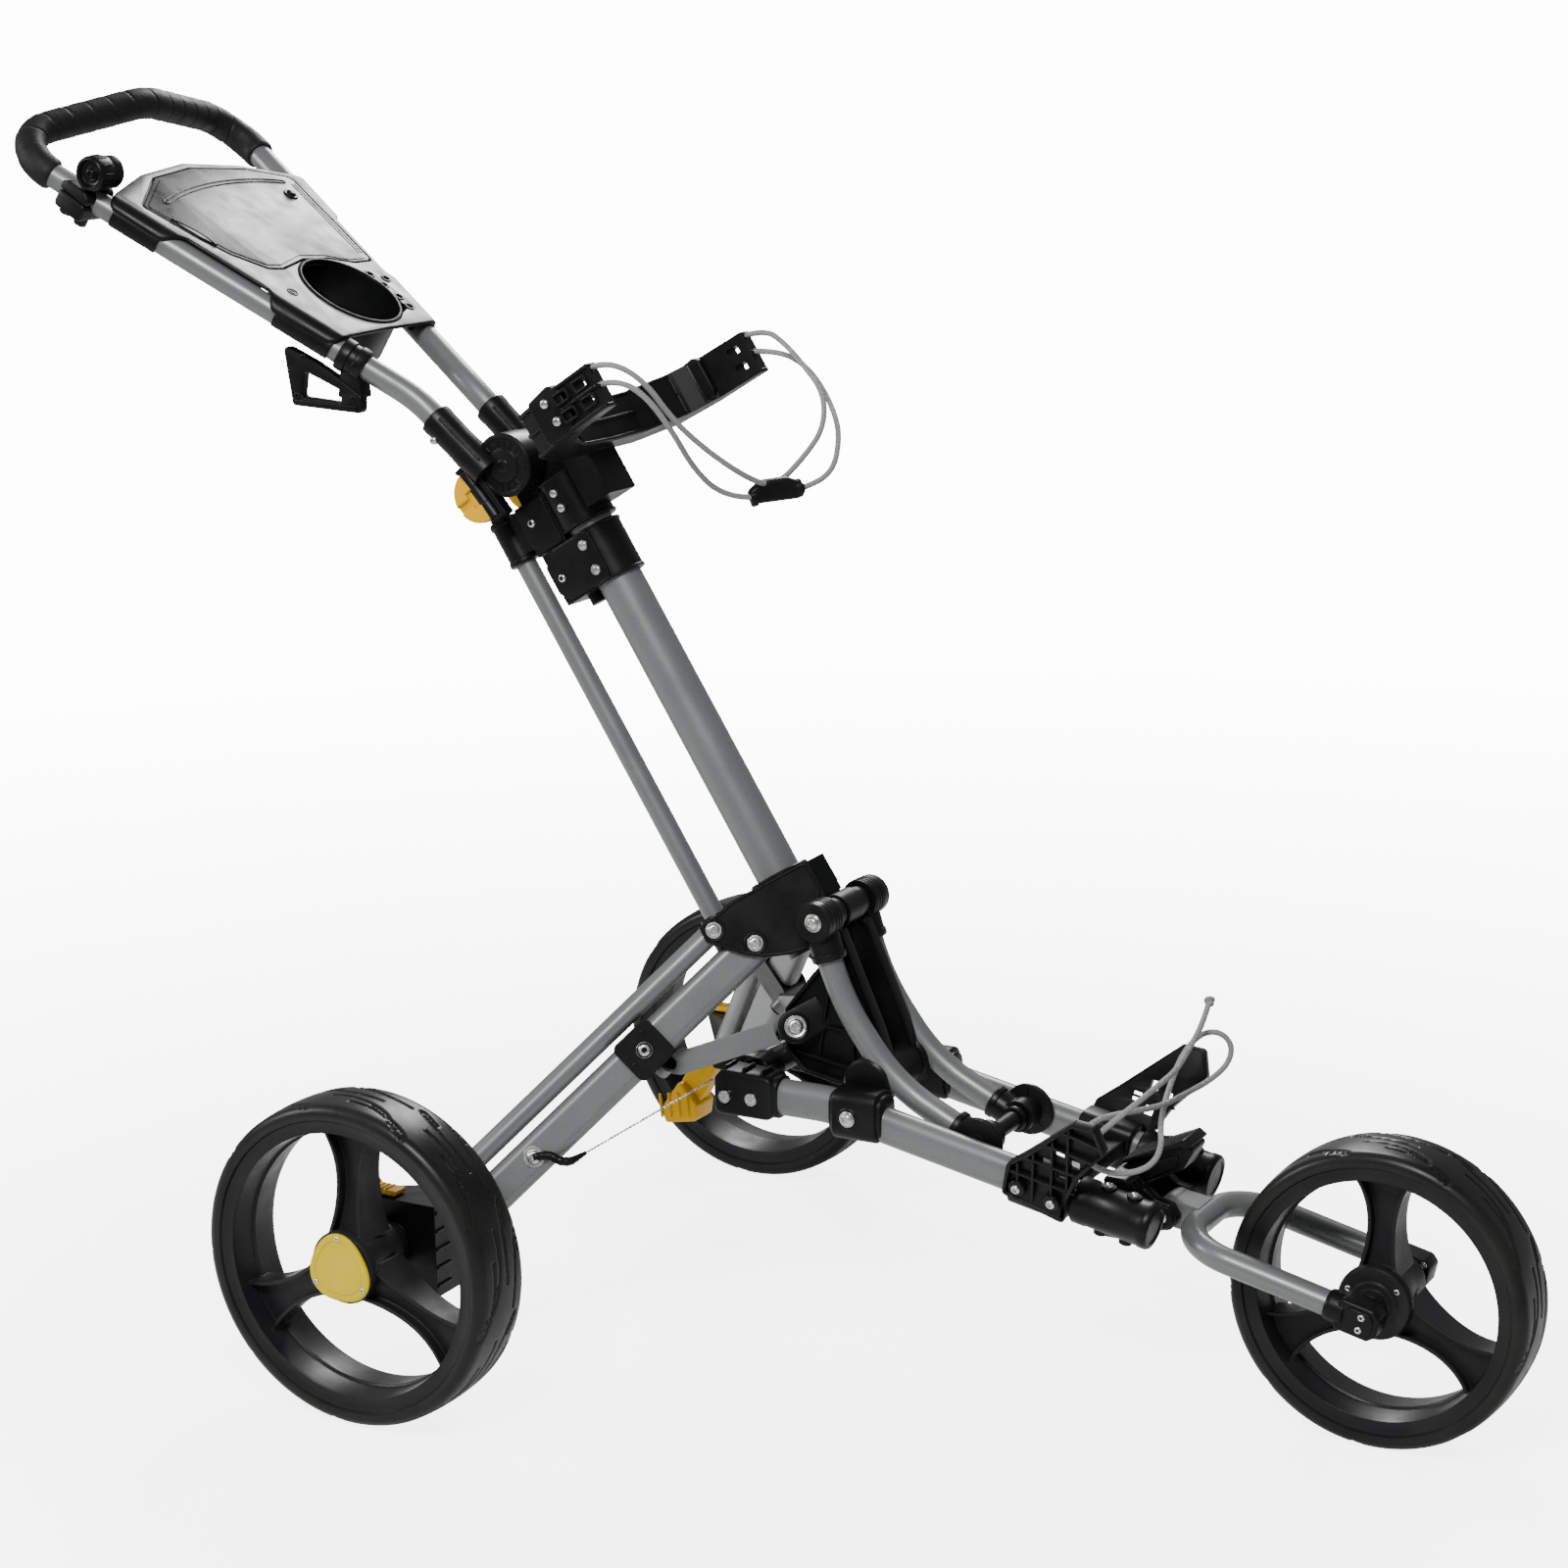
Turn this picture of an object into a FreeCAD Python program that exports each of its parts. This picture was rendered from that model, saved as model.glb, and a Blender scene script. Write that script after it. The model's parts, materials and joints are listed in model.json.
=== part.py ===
import FreeCAD, Part
import math
import os

import Sketcher
from FreeCAD import Placement, Rotation, Vector

# A three-wheeled golf push trolley, in millimetres.
# X points forward to the front wheel, Y to the left, Z up. The origin is on the ground,
# under the middle of the whole trolley. Right-hand parts are on the -Y side.

os.makedirs("parts", exist_ok=True)
doc = FreeCAD.newDocument("golf_trolley")

# ---------------------------------------------------------------- driving dimensions

DRIVING_SIZES = [
    ("rear_radius", 140), ("front_radius", 127), ("tyre_width", 64), ("tyre_depth", 15),
    ("rim_depth", 12), ("rim_width", 56), ("hub_radius", 27), ("axle_radius", 6),
    ("spoke_width", 24), ("spoke_thick", 26),
    ("front_axle_x", 551), ("wheelbase", 766), ("half_track", 339.5),
    ("mast_foot_x", -8.1), ("mast_foot_z", 413.1), ("mast_lean", 31.77),
    ("mast_radius", 20), ("mast_top", 388), ("mast_bottom", -72), ("tube_wall", 2),
    ("rod_radius", 9.5), ("rod_offset", 79), ("collar_radius", 25), ("sleeve_radius", 26),
    ("pivot_x", 56.3), ("pivot_z", 387.3), ("pivot_shaft_radius", 8), ("pivot_lug_radius", 15),
    ("knuckle_p", -25), ("knuckle_m", 420), ("knuckle_radius", 28),
    ("handle_x", -336.8), ("handle_z", 811.2), ("handle_rise", 32.34),
    ("handle_radius", 11), ("grip_radius", 14.5), ("socket_radius", 14),
    ("deck_top", 16), ("deck_thick", 3.8), ("cup_radius", 47), ("cup_depth", 30),
    ("leg_splay", 36.15), ("leg_offset", 21.3), ("leg_length", 381.2), ("leg_angle", 105.73),
    ("leg_height", 34), ("leg_thick", 18), ("link_radius", 9.5), ("strut_width", 20), ("strut_thick", 5),
    ("pin_radius", 4), ("running_fit", 0.05),
    ("frame_y", 65), ("frame_height", 32), ("frame_width", 24),
    ("curve_radius", 11), ("fork_radius", 11), ("fork_half_width", 61.5),
    ("fork_pivot_x", 366), ("fork_pivot_z", 168), ("cord_radius", 2.5), ("cable_radius", 1),
]

sheet = doc.addObject("Spreadsheet::Sheet", "Sizes")
for row, (alias, number) in enumerate(DRIVING_SIZES, start=1):
    sheet.set(f"A{row}", alias)
    sheet.set(f"B{row}", str(number))
    sheet.setAlias(f"B{row}", alias)
doc.recompute()


class Size:
    """A length with the spreadsheet expression that it stands for."""

    def __init__(self, value, text):
        self.value = float(value)
        self.text = text

    def _join(self, other, sign, value):
        text = other.text if isinstance(other, Size) else repr(float(other))
        return Size(value, f"({self.text} {sign} {text})")

    def __add__(self, other):
        return self._join(other, "+", self.value + number_of(other))

    def __sub__(self, other):
        return self._join(other, "-", self.value - number_of(other))

    def __mul__(self, other):
        return self._join(other, "*", self.value * number_of(other))

    def __neg__(self):
        return Size(-self.value, f"(-1 * {self.text})")


def number_of(length):
    return length.value if isinstance(length, Size) else float(length)


def size(alias):
    return Size(sheet.get(alias), f"Sizes.{alias}")


def bind(target, name, length):
    """Set one property, and keep it tied to its spreadsheet cell."""
    setattr(target, name, number_of(length))
    if isinstance(length, Size):
        target.setExpression(name, length.text)


def val(alias):
    return float(sheet.get(alias))


# ---------------------------------------------------------------- frames of reference

ALONG_Y = Rotation(Vector(1, 0, 0), -90)      # turns a +Z primitive to point along +Y
WORLD = Placement()
MAST = Placement(Vector(val("mast_foot_x"), 0, val("mast_foot_z")),
                 Rotation(Vector(0, 1, 0), -val("mast_lean")))
HANDLE = Placement(Vector(val("handle_x"), 0, val("handle_z")),
                   Rotation(Vector(0, 1, 0), val("handle_rise")))


def handle_point(s, y, h):
    """A point given up the handle from its bend, across it and above its tubes."""
    return HANDLE.multVec(Vector(-s, y, h))


splay = math.radians(val("leg_splay"))
swing = math.radians(val("leg_angle"))
PLANE_OUT = MAST.Rotation.multVec(Vector(-math.cos(splay), -math.sin(splay), 0))
PLANE_UP = MAST.Rotation.multVec(Vector(0, 0, 1))
PLANE_NORMAL = PLANE_UP.cross(PLANE_OUT)
LEG_AXIS = PLANE_UP * math.cos(swing) + PLANE_OUT * math.sin(swing)
LEG_PLANE = Placement(MAST.Base, Rotation(PLANE_UP, PLANE_OUT, PLANE_NORMAL, "ZXY"))
MAIN_PIVOT = (-47.1, 47.9)                    # along the mast and outward, in the leg plane
LINK_PIVOT = (-20.7, 74.0)


def leg_point(m, w, n):
    return LEG_PLANE.multVec(Vector(m, w, n))


def leg_frame(pivot, offset=0.0):
    """Frame at a leg pivot: X runs down the leg, Z is the pivot axis, outward."""
    base = leg_point(pivot[0], pivot[1], val("leg_offset") + offset)
    return Placement(base, Rotation(LEG_AXIS, PLANE_NORMAL.cross(LEG_AXIS), PLANE_NORMAL, "ZXY"))


LEG = leg_frame(MAIN_PIVOT)
LINK = leg_frame(LINK_PIVOT)

# ---------------------------------------------------------------- building helpers

nodes = {}


def node(label, thing):
    """Name a finished sub-part, so that it is written to its own file."""
    thing.Label = label
    nodes[label] = thing
    return thing


def local(frame, rotation=None, base=(0, 0, 0)):
    return frame.multiply(Placement(Vector(*base), rotation or Rotation()))


def box(frame, low, high):
    thing = doc.addObject("Part::Box", "box")
    thing.Length, thing.Width, thing.Height = [number_of(b) - number_of(a) for a, b in zip(low, high)]
    thing.Placement = local(frame, base=[number_of(a) for a in low])
    for name, a, b in zip(("Length", "Width", "Height"), low, high):
        if isinstance(a, Size) or isinstance(b, Size):
            span = (b if isinstance(b, Size) else Size(b, repr(float(b)))) - a
            thing.setExpression(name, span.text)
    return thing


def cylinder(frame, radius, length, base=(0, 0, 0), rotation=None):
    """A round bar; it runs along the frame's Z unless it is turned."""
    thing = doc.addObject("Part::Cylinder", "bar")
    bind(thing, "Radius", radius)
    bind(thing, "Height", length)
    thing.Placement = local(frame, rotation, base)
    return thing


def bar_y(frame, radius, x, z, y_low, y_high):
    return cylinder(frame, radius, y_high - y_low, (x, y_low, z), ALONG_Y)


def bar_between(start, end, radius):
    direction = end - start
    thing = doc.addObject("Part::Cylinder", "bar")
    bind(thing, "Radius", radius)
    thing.Height = direction.Length
    thing.Placement = Placement(start, Rotation(Vector(0, 0, 1), direction))
    return thing


def fuse(*things):
    thing = doc.addObject("Part::MultiFuse", "joined")
    thing.Shapes = list(things)
    thing.Refine = True
    return thing


def cut(base, *tools):
    thing = doc.addObject("Part::Cut", "cut")
    thing.Base = base
    thing.Tool = tools[0] if len(tools) == 1 else fuse(*tools)
    thing.Refine = True
    return thing


def mirrored(source):
    """The left-hand twin of a right-hand piece."""
    thing = doc.addObject("Part::Mirroring", "twin")
    thing.Source = source
    thing.Base = Vector(0, 0, 0)
    thing.Normal = Vector(0, 1, 0)
    return thing


def pair(name, source):
    node(f"{name}_right", source)
    return node(f"{name}_left", mirrored(source))


def group(*things):
    """Identical loose pieces kept as one named group."""
    thing = doc.addObject("Part::Compound", "group")
    thing.Links = list(things)
    return thing


def body(frame=WORLD):
    thing = doc.addObject("PartDesign::Body", "body")
    thing.Placement = frame
    return thing


def sketch_on(owner, role):
    plane = [f for f in owner.Origin.OriginFeatures if f.Role == role][0]
    sketch = owner.newObject("Sketcher::SketchObject", "profile")
    sketch.AttachmentSupport = [(plane, "")]
    sketch.MapMode = "FlatFace"
    return sketch


def tie(sketch, kind, places, length):
    """One dimension of a sketch, driven by the spreadsheet when it comes from there."""
    value = number_of(length)
    if value < 0:
        places = places[2:] + places[:2]
        length = -length if isinstance(length, Size) else -value
    index = sketch.addConstraint(Sketcher.Constraint(kind, *places, abs(value)))
    if isinstance(length, Size):
        sketch.setExpression(f"Constraints[{index}]", length.text)


def outline(sketch, corners):
    """A closed polygon with every corner dimensioned from the sketch's origin."""
    spots = [Vector(number_of(x), number_of(y), 0) for x, y in corners]
    first = sketch.GeometryCount
    for start, end in zip(spots, spots[1:] + spots[:1]):
        sketch.addGeometry(Part.LineSegment(start, end), False)
    last = first + len(spots) - 1
    for index, (x, y) in enumerate(corners, start=first):
        following = index + 1 if index < last else first
        sketch.addConstraint(Sketcher.Constraint("Coincident", index, 2, following, 1))
        for kind, axis, length in (("DistanceX", -2, x), ("DistanceY", -1, y)):
            if number_of(length) == 0:
                sketch.addConstraint(Sketcher.Constraint("PointOnObject", index, 1, axis))
            else:
                tie(sketch, kind, (-1, 1, index, 1), length)


def ring(sketch, radius, x=0.0, y=0.0):
    index = sketch.GeometryCount
    sketch.addGeometry(Part.Circle(Vector(x, y, 0), Vector(0, 0, 1), number_of(radius)), False)
    for kind, axis, place in (("DistanceX", -2, x), ("DistanceY", -1, y)):
        if place == 0:
            sketch.addConstraint(Sketcher.Constraint("PointOnObject", index, 3, axis))
        else:
            tie(sketch, kind, (-1, 1, index, 3), place)
    number = sketch.addConstraint(Sketcher.Constraint("Radius", index, number_of(radius)))
    if isinstance(radius, Size):
        sketch.setExpression(f"Constraints[{number}]", radius.text)


def pad(owner, sketch, length, centred=True):
    feature = owner.newObject("PartDesign::Pad", "pad")
    feature.Profile = sketch
    bind(feature, "Length", length)
    feature.Midplane = centred
    return feature


def pocket(owner, sketch, length, reverse=False, centred=False):
    """Cut a sketch into the body, and make sure that it took something away."""
    doc.recompute()
    before = owner.Shape.Volume
    feature = owner.newObject("PartDesign::Pocket", "pocket")
    feature.Profile = sketch
    bind(feature, "Length", length)
    feature.Midplane = centred
    feature.Reversed = reverse
    doc.recompute()
    if owner.Shape.Volume > before - 0.5:
        raise RuntimeError("a pocket cut nothing")
    return feature


def round_edges(owner, direction, radius):
    """Round every straight edge of a body that runs along one direction."""
    doc.recompute()
    feature = owner.Tip
    wanted = owner.Placement.Rotation.multVec(Vector(*direction))
    names = []
    for number, edge in enumerate(owner.Shape.Edges, start=1):
        if edge.Curve.TypeId != "Part::GeomLine":
            continue
        if abs(abs(edge.Curve.Direction.dot(wanted)) - 1) < 1e-6:
            names.append(f"Edge{number}")
    fillet = owner.newObject("PartDesign::Fillet", "rounding")
    fillet.Base = (feature, names)
    fillet.Radius = radius
    return fillet


def rounded_path(points, radii):
    """Straight runs joined by tangent arcs."""
    edges = []
    start = points[0]
    for before, corner, after, radius in zip(points, points[1:], points[2:], radii):
        inward = (before - corner).normalize()
        outward = (after - corner).normalize()
        turn = math.pi - inward.getAngle(outward)
        reach = radius * math.tan(turn / 2)
        centre_way = (inward + outward).normalize()
        first = corner + inward * reach
        last = corner + outward * reach
        middle = corner + centre_way * (radius / math.cos(turn / 2) - radius)
        edges.append(Part.LineSegment(start, first).toShape())
        edges.append(Part.Arc(first, middle, last).toShape())
        start = last
    edges.append(Part.LineSegment(start, points[-1]).toShape())
    return Part.Wire(edges)


def spine(points, radii):
    thing = doc.addObject("Part::Feature", "spine")
    thing.Shape = rounded_path(points, radii)
    return thing


def sweep(path, section):
    thing = doc.addObject("Part::Sweep", "swept")
    thing.Sections = [section]
    thing.Spine = path
    thing.Solid = True
    thing.Frenet = False
    return thing


def round_section(points, radius):
    """A circle at the start of a path, square to it."""
    thing = doc.addObject("Part::Circle", "section")
    bind(thing, "Radius", radius)
    thing.Placement = Placement(points[0], Rotation(Vector(0, 0, 1), points[1] - points[0]))
    return thing


def round_tube(points, radii, radius, inner=None):
    path = spine(points, radii)
    outside = sweep(path, round_section(points, radius))
    if inner is None:
        return outside
    return cut(outside, sweep(path, round_section(points, inner)))


def oval_section(start, direction, height, width):
    """An oval standing on its narrow side, square to a path in the XZ plane."""
    straight = (height - width) / 2
    half = width / 2
    low_a, low_b = Vector(-half, -straight, 0), Vector(half, -straight, 0)
    high_a, high_b = Vector(-half, straight, 0), Vector(half, straight, 0)
    wire = Part.Wire([Part.LineSegment(high_a, low_a).toShape(),
                      Part.Arc(low_a, Vector(0, -height / 2, 0), low_b).toShape(),
                      Part.LineSegment(low_b, high_b).toShape(),
                      Part.Arc(high_b, Vector(0, height / 2, 0), high_a).toShape()])
    side = Vector(0, 1, 0)
    thing = doc.addObject("Part::Feature", "section")
    thing.Shape = wire
    thing.Placement = Placement(start, Rotation(side, direction.cross(side), direction, "ZXY"))
    return thing


# ---------------------------------------------------------------- cords


def cord_radii(points, label):
    """Arc radii as large as the runs beside each point allow."""
    radii = []
    for before, corner, after in zip(points, points[1:], points[2:]):
        runs = (before - corner).Length, (after - corner).Length
        turn = math.pi - (before - corner).getAngle(after - corner)
        radii.append(0.45 * min(runs) / math.tan(turn / 2))
    print(label, "radii", [round(r) for r in radii])
    return radii


def cord(label, route):
    """A round elastic cord along a route of hand-set points."""
    points = [Vector(*place) for place in route]
    path = spine(points, cord_radii(points, label))
    thing = sweep(path, round_section(points, size("cord_radius")))
    doc.recompute()
    length = path.Shape.Length
    ratio = thing.Shape.Volume / (length * math.pi * val("cord_radius") ** 2)
    print(label, "length", round(length), "volume ratio", round(ratio, 3))
    return node(label, thing)


UPPER_OUTER_ROUTE = [
    (-102.5, -127, 858.1), (-85, -129, 864), (-60, -117, 849), (-47, -93, 813), (-31, -62, 783),
    (-14, -26, 757), (-6, 4, 747), (4, 36, 768), (9, 64, 790), (-6, 92, 816), (-32, 106, 836),
    (-58, 117, 854), (-82, 127, 864), (-102.5, 127, 858.1),
]
UPPER_INNER_ROUTE = [
    (-94.1, -127, 844.5), (-77, -128, 849), (-57, -118, 836), (-44, -98, 804), (-43, -70, 772),
    (-36, -40, 746), (-16, -10, 738), (12, 14, 744), (29, 42, 755), (21, 70, 783), (2, 94, 802),
    (-21, 112, 822), (-46, 126, 837), (-73, 132, 845), (-94.1, 127, 844.5),
]
LOWER_ROUTE = [
    (321, -98, 254), (329, -84, 263), (339, -60, 263), (349, -30, 259), (355, 5, 254), (359, 40, 254),
    (367, 68, 257), (378, 84, 269), (380, 88, 285), (370, 84, 297), (355, 77, 295), (344, 66, 279),
    (342, 46, 259), (350, 12, 249), (363, -26, 245), (374, -48, 237), (371, -60, 224), (354, -71, 217),
    (335, -86, 222), (328, -98, 237), (335, -96, 253), (350, -84, 268), (362, -62, 280), (366, -34, 285),
    (364, 4, 285), (360, 40, 292), (362, 66, 308), (360, 84, 322),
]
upper_outer = cord("upper_cord_outer", UPPER_OUTER_ROUTE)
upper_inner = cord("upper_cord_inner", UPPER_INNER_ROUTE)
lower_cord = cord("lower_cord", LOWER_ROUTE)

# ---------------------------------------------------------------- wheels

SPOKE_COUNT = 3


def wheel_rim(frame, radius):
    """A deep barrel rim, its hub and three hollow-backed spokes; the axle is along Y."""
    owner = body(frame)
    seat = radius - size("tyre_depth")
    inside = seat - size("rim_depth")
    half = size("rim_width") * 0.5
    barrel = sketch_on(owner, "XY_Plane")
    outline(barrel, [(inside, -half), (seat + 3, -half), (seat + 3, -half + 4), (seat, -half + 4),
                     (seat, half - 4), (seat + 3, half - 4), (seat + 3, half), (inside, half)])
    turned = owner.newObject("PartDesign::Revolution", "barrel")
    turned.Profile = barrel
    turned.ReferenceAxis = (barrel, ["V_Axis"])
    turned.Angle = 360
    hub = sketch_on(owner, "XZ_Plane")
    ring(hub, size("hub_radius"))
    pad(owner, hub, size("rim_width") + 10)
    spoke = sketch_on(owner, "XZ_Plane")
    near, far = number_of(size("hub_radius")) - 8, number_of(inside) + 5
    width = size("spoke_width") * 0.5
    outline(spoke, [(-width, near), (width, near), (width + 7, far), (-width - 7, far)])
    blade = pad(owner, spoke, size("spoke_thick"))
    around = owner.newObject("PartDesign::PolarPattern", "spokes")
    around.Originals = [blade]
    around.Axis = (spoke, ["N_Axis"])
    around.Angle = 360
    around.Occurrences = SPOKE_COUNT
    owner.Tip = around
    hollow = sketch_on(owner, "XZ_Plane")
    for turn in range(SPOKE_COUNT):
        angle = math.radians(turn * 360 / SPOKE_COUNT)
        corners = [(-number_of(width) + 5, near + 22), (number_of(width) - 5, near + 22),
                   (number_of(width) + 1, far - 12), (-number_of(width) - 1, far - 12)]
        outline(hollow, [(x * math.cos(angle) - y * math.sin(angle),
                          x * math.sin(angle) + y * math.cos(angle)) for x, y in corners])
    owner.Tip = pocket(owner, hollow, size("spoke_thick") * 0.5, reverse=True)
    bore = sketch_on(owner, "XZ_Plane")
    ring(bore, size("axle_radius") + size("running_fit"))
    pocket(owner, bore, size("rim_width") + 40, centred=True)
    return owner


def wheel_tyre(frame, radius):
    """A solid foam tyre with a crowned tread, gripping the rim between its flanges."""
    owner = body(frame)
    seat = radius - size("tyre_depth")
    half = size("tyre_width") * 0.5
    groove = size("rim_width") * 0.5 - 4
    lip = size("rim_width") * 0.5
    profile = sketch_on(owner, "XY_Plane")
    outline(profile, [(seat, -groove), (seat + 3, -groove), (seat + 3, -lip), (seat + 2, -half),
                      (radius - 5, -half), (radius - 1.6, -half + 4), (radius, -half + 13),
                      (radius, half - 13), (radius - 1.6, half - 4), (radius - 5, half),
                      (seat + 2, half), (seat + 3, lip), (seat + 3, groove), (seat, groove)])
    turned = owner.newObject("PartDesign::Revolution", "tread")
    turned.Profile = profile
    turned.ReferenceAxis = (profile, ["V_Axis"])
    turned.Angle = 360
    return owner


rear_axle_x = val("front_axle_x") - val("wheelbase")
REAR_WHEEL = Placement(Vector(rear_axle_x, -val("half_track"), val("rear_radius")), Rotation())
FRONT_WHEEL = Placement(Vector(val("front_axle_x"), 0, val("front_radius")), Rotation())

pair("rear_rim", wheel_rim(REAR_WHEEL, size("rear_radius")))
pair("rear_tyre", wheel_tyre(REAR_WHEEL, size("rear_radius")))
node("front_rim", wheel_rim(FRONT_WHEEL, size("front_radius")))
node("front_tyre", wheel_tyre(FRONT_WHEEL, size("front_radius")))


def hub_cap():
    """The bulging three-cornered cap on a rear hub, seated on the hub's outer end."""
    reach, bulge = 31.0, 27.5
    hub_end = val("rim_width") / 2 + 5
    corners = []
    sides = []
    for turn in range(SPOKE_COUNT):
        corner = math.radians(90 + turn * 360 / SPOKE_COUNT)
        side = corner + math.pi / SPOKE_COUNT
        corners.append(Vector(reach * math.cos(corner), 0, reach * math.sin(corner)))
        sides.append(Vector(bulge * math.cos(side), 0, bulge * math.sin(side)))
    edges = [Part.Arc(corners[i], sides[i], corners[(i + 1) % SPOKE_COUNT]).toShape()
             for i in range(SPOKE_COUNT)]
    plate = Part.Face(Part.Wire(edges)).extrude(Vector(0, 3.4, 0))
    thing = doc.addObject("Part::Feature", "cap")
    thing.Shape = plate.makeFillet(1.6, [e for e in plate.Edges if abs(e.CenterOfMass.y) < 0.01])
    thing.Placement = Placement(REAR_WHEEL.Base + Vector(0, -hub_end - 3.4, 0), Rotation())
    return thing


pair("hub_cap", hub_cap())

# ---------------------------------------------------------------- legs, links, struts and wheel housings


def bolt_hole(owner, x, reach):
    """A cross hole along Z for a pivot bolt."""
    hole = sketch_on(owner, "XY_Plane")
    ring(hole, size("pin_radius") + size("running_fit"), x, 0)
    pocket(owner, hole, reach, centred=True)


END_OVERHANG = 15


def leg_tube():
    owner = body(LEG)
    section = sketch_on(owner, "YZ_Plane")
    section.AttachmentOffset = Placement(Vector(0, 0, -END_OVERHANG), Rotation())
    half_y, half_z = size("leg_height") * 0.5, size("leg_thick") * 0.5
    outline(section, [(-half_y, -half_z), (half_y, -half_z), (half_y, half_z), (-half_y, half_z)])
    pad(owner, section, size("leg_length") + 2 * END_OVERHANG, centred=False)
    round_edges(owner, (1, 0, 0), 8)
    doc.recompute()
    cavity = sketch_on(owner, "YZ_Plane")
    cavity.AttachmentOffset = Placement(Vector(0, 0, -END_OVERHANG), Rotation())
    wall = size("tube_wall")
    inner_y, inner_z = half_y - wall - 2, half_z - wall
    outline(cavity, [(-inner_y, -inner_z), (inner_y, -inner_z), (inner_y, inner_z), (-inner_y, inner_z)])
    pocket(owner, cavity, size("leg_length") + 2 * END_OVERHANG, reverse=True)
    for x in (0, val("leg_length")):
        bolt_hole(owner, x, 60)
    return owner


def leg_link():
    owner = body(LINK)
    section = sketch_on(owner, "YZ_Plane")
    section.AttachmentOffset = Placement(Vector(0, 0, -END_OVERHANG + 4), Rotation())
    ring(section, size("link_radius"))
    ring(section, size("link_radius") - size("tube_wall"))
    pad(owner, section, size("leg_length") + 2 * END_OVERHANG - 8, centred=False)
    for x in (0, val("leg_length")):
        bolt_hole(owner, x, 60)
    return owner


CLAMP_AT = 131.0
pair("leg_tube", leg_tube())
pair("leg_link", leg_link())


STRUT_OFFSET = -(val("leg_thick") / 2 + 3 + 1 + val("strut_thick") / 2)
STRUT_PIVOT = Vector(129, 23, STRUT_OFFSET)   # on the clamp's front edge, in the leg's frame
STRUT_AXIS = Vector(0.7155, 0.0611, -0.6959)
STRUT_HINGE = LEG.multiply(Placement(STRUT_PIVOT, Rotation(Vector(0, 0, 1), STRUT_AXIS)))
EAR_RADIUS, EAR_HALF = 7.0, 5.0
EAR_M, EAR_W = -126.0, 50.3                   # the casting's ear, in the leg plane
STRUT_LEG_END = LEG.multVec(STRUT_PIVOT)
STRUT_EAR_END = leg_point(EAR_M, EAR_W, val("leg_offset") + STRUT_OFFSET)
CASTING_EAR_RADIUS = 15.0


def leg_clamp():
    """The moulded band round a leg, with the ear and pin of the strut's hinge."""
    half_y = val("leg_height") / 2 + 3
    half_z = val("leg_thick") / 2 + 3
    owner = body(LEG)
    section = sketch_on(owner, "XY_Plane")
    outline(section, [(CLAMP_AT - 20, -half_y), (CLAMP_AT + 20, -half_y),
                      (CLAMP_AT + 20, half_y), (CLAMP_AT - 20, half_y)])
    pad(owner, section, 2 * half_z)
    round_edges(owner, (0, 0, 1), 6)
    doc.recompute()
    opening = sketch_on(owner, "YZ_Plane")
    opening.AttachmentOffset = Placement(Vector(0, 0, CLAMP_AT - 30), Rotation())
    tube_y, tube_z = size("leg_height") * 0.5, size("leg_thick") * 0.5
    outline(opening, [(-tube_y, -tube_z), (tube_y, -tube_z), (tube_y, tube_z), (-tube_y, tube_z)])
    pocket(owner, opening, 60, reverse=True)
    head = cylinder(LEG, 6.5, 3, (CLAMP_AT, 0, half_z))
    room = cylinder(STRUT_HINGE, EAR_RADIUS + 0.4, 2 * EAR_HALF + 3, (0, 0, -EAR_HALF - 0.3))
    ear = cylinder(STRUT_HINGE, EAR_RADIUS, 3.4, (0, 0, -EAR_HALF - 3.7))
    pin = cylinder(STRUT_HINGE, size("pin_radius"), 2 * EAR_HALF + 3.3, (0, 0, -EAR_HALF - 3))
    stop = cylinder(STRUT_HINGE, EAR_RADIUS - 1, 2, (0, 0, EAR_HALF + 0.3))
    return fuse(cut(fuse(owner, ear), room), pin, stop, head)


pair("leg_clamp", leg_clamp())

def strut():
    """A flat bar hinged on the leg's clamp; its other end stays just clear of the casting's ear."""
    direction = STRUT_LEG_END - STRUT_EAR_END
    length = direction.Length
    along = direction.normalize()
    frame = Placement(STRUT_EAR_END, Rotation(along, PLANE_NORMAL.cross(along), PLANE_NORMAL, "ZXY"))
    half = val("strut_width") / 2
    owner = body(frame)
    shape = sketch_on(owner, "XY_Plane")
    outline(shape, [(8, -half), (length - 12, -half), (length + 1, -half + 6), (length + 1, half - 6),
                    (length - 12, half), (8, half)])
    pad(owner, shape, size("strut_thick"))
    clear = CASTING_EAR_RADIUS + 3.2
    barrel = cylinder(STRUT_HINGE, EAR_RADIUS, 2 * EAR_HALF, (0, 0, -EAR_HALF))
    room = [cylinder(STRUT_HINGE, EAR_RADIUS + 0.5, 5, (0, 0, EAR_HALF)),
            cylinder(STRUT_HINGE, EAR_RADIUS + 0.5, 5, (0, 0, -EAR_HALF - 5))]
    bore = cylinder(STRUT_HINGE, size("pin_radius") + size("running_fit"), 40, (0, 0, -20))
    ear_room = cylinder(frame, clear, 30, (0, 0, -15))
    return cut(fuse(owner, barrel), ear_room, bore, *room)


pair("strut", strut())

HOUSING_LOW = (-246.0, -298.0, 96.0)
HOUSING_HIGH = (-172.0, -246.0, 176.0)
AXLE_INNER_Y = -278.0                         # clear of the leg and the link at every angle


def leg_sweep():
    """The space beside the housing that the leg and the link pass through."""
    return box(LEG, (-60, -200, -150), (val("leg_length") + 160, 200, val("leg_thick") / 2 + 1.2))


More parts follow.
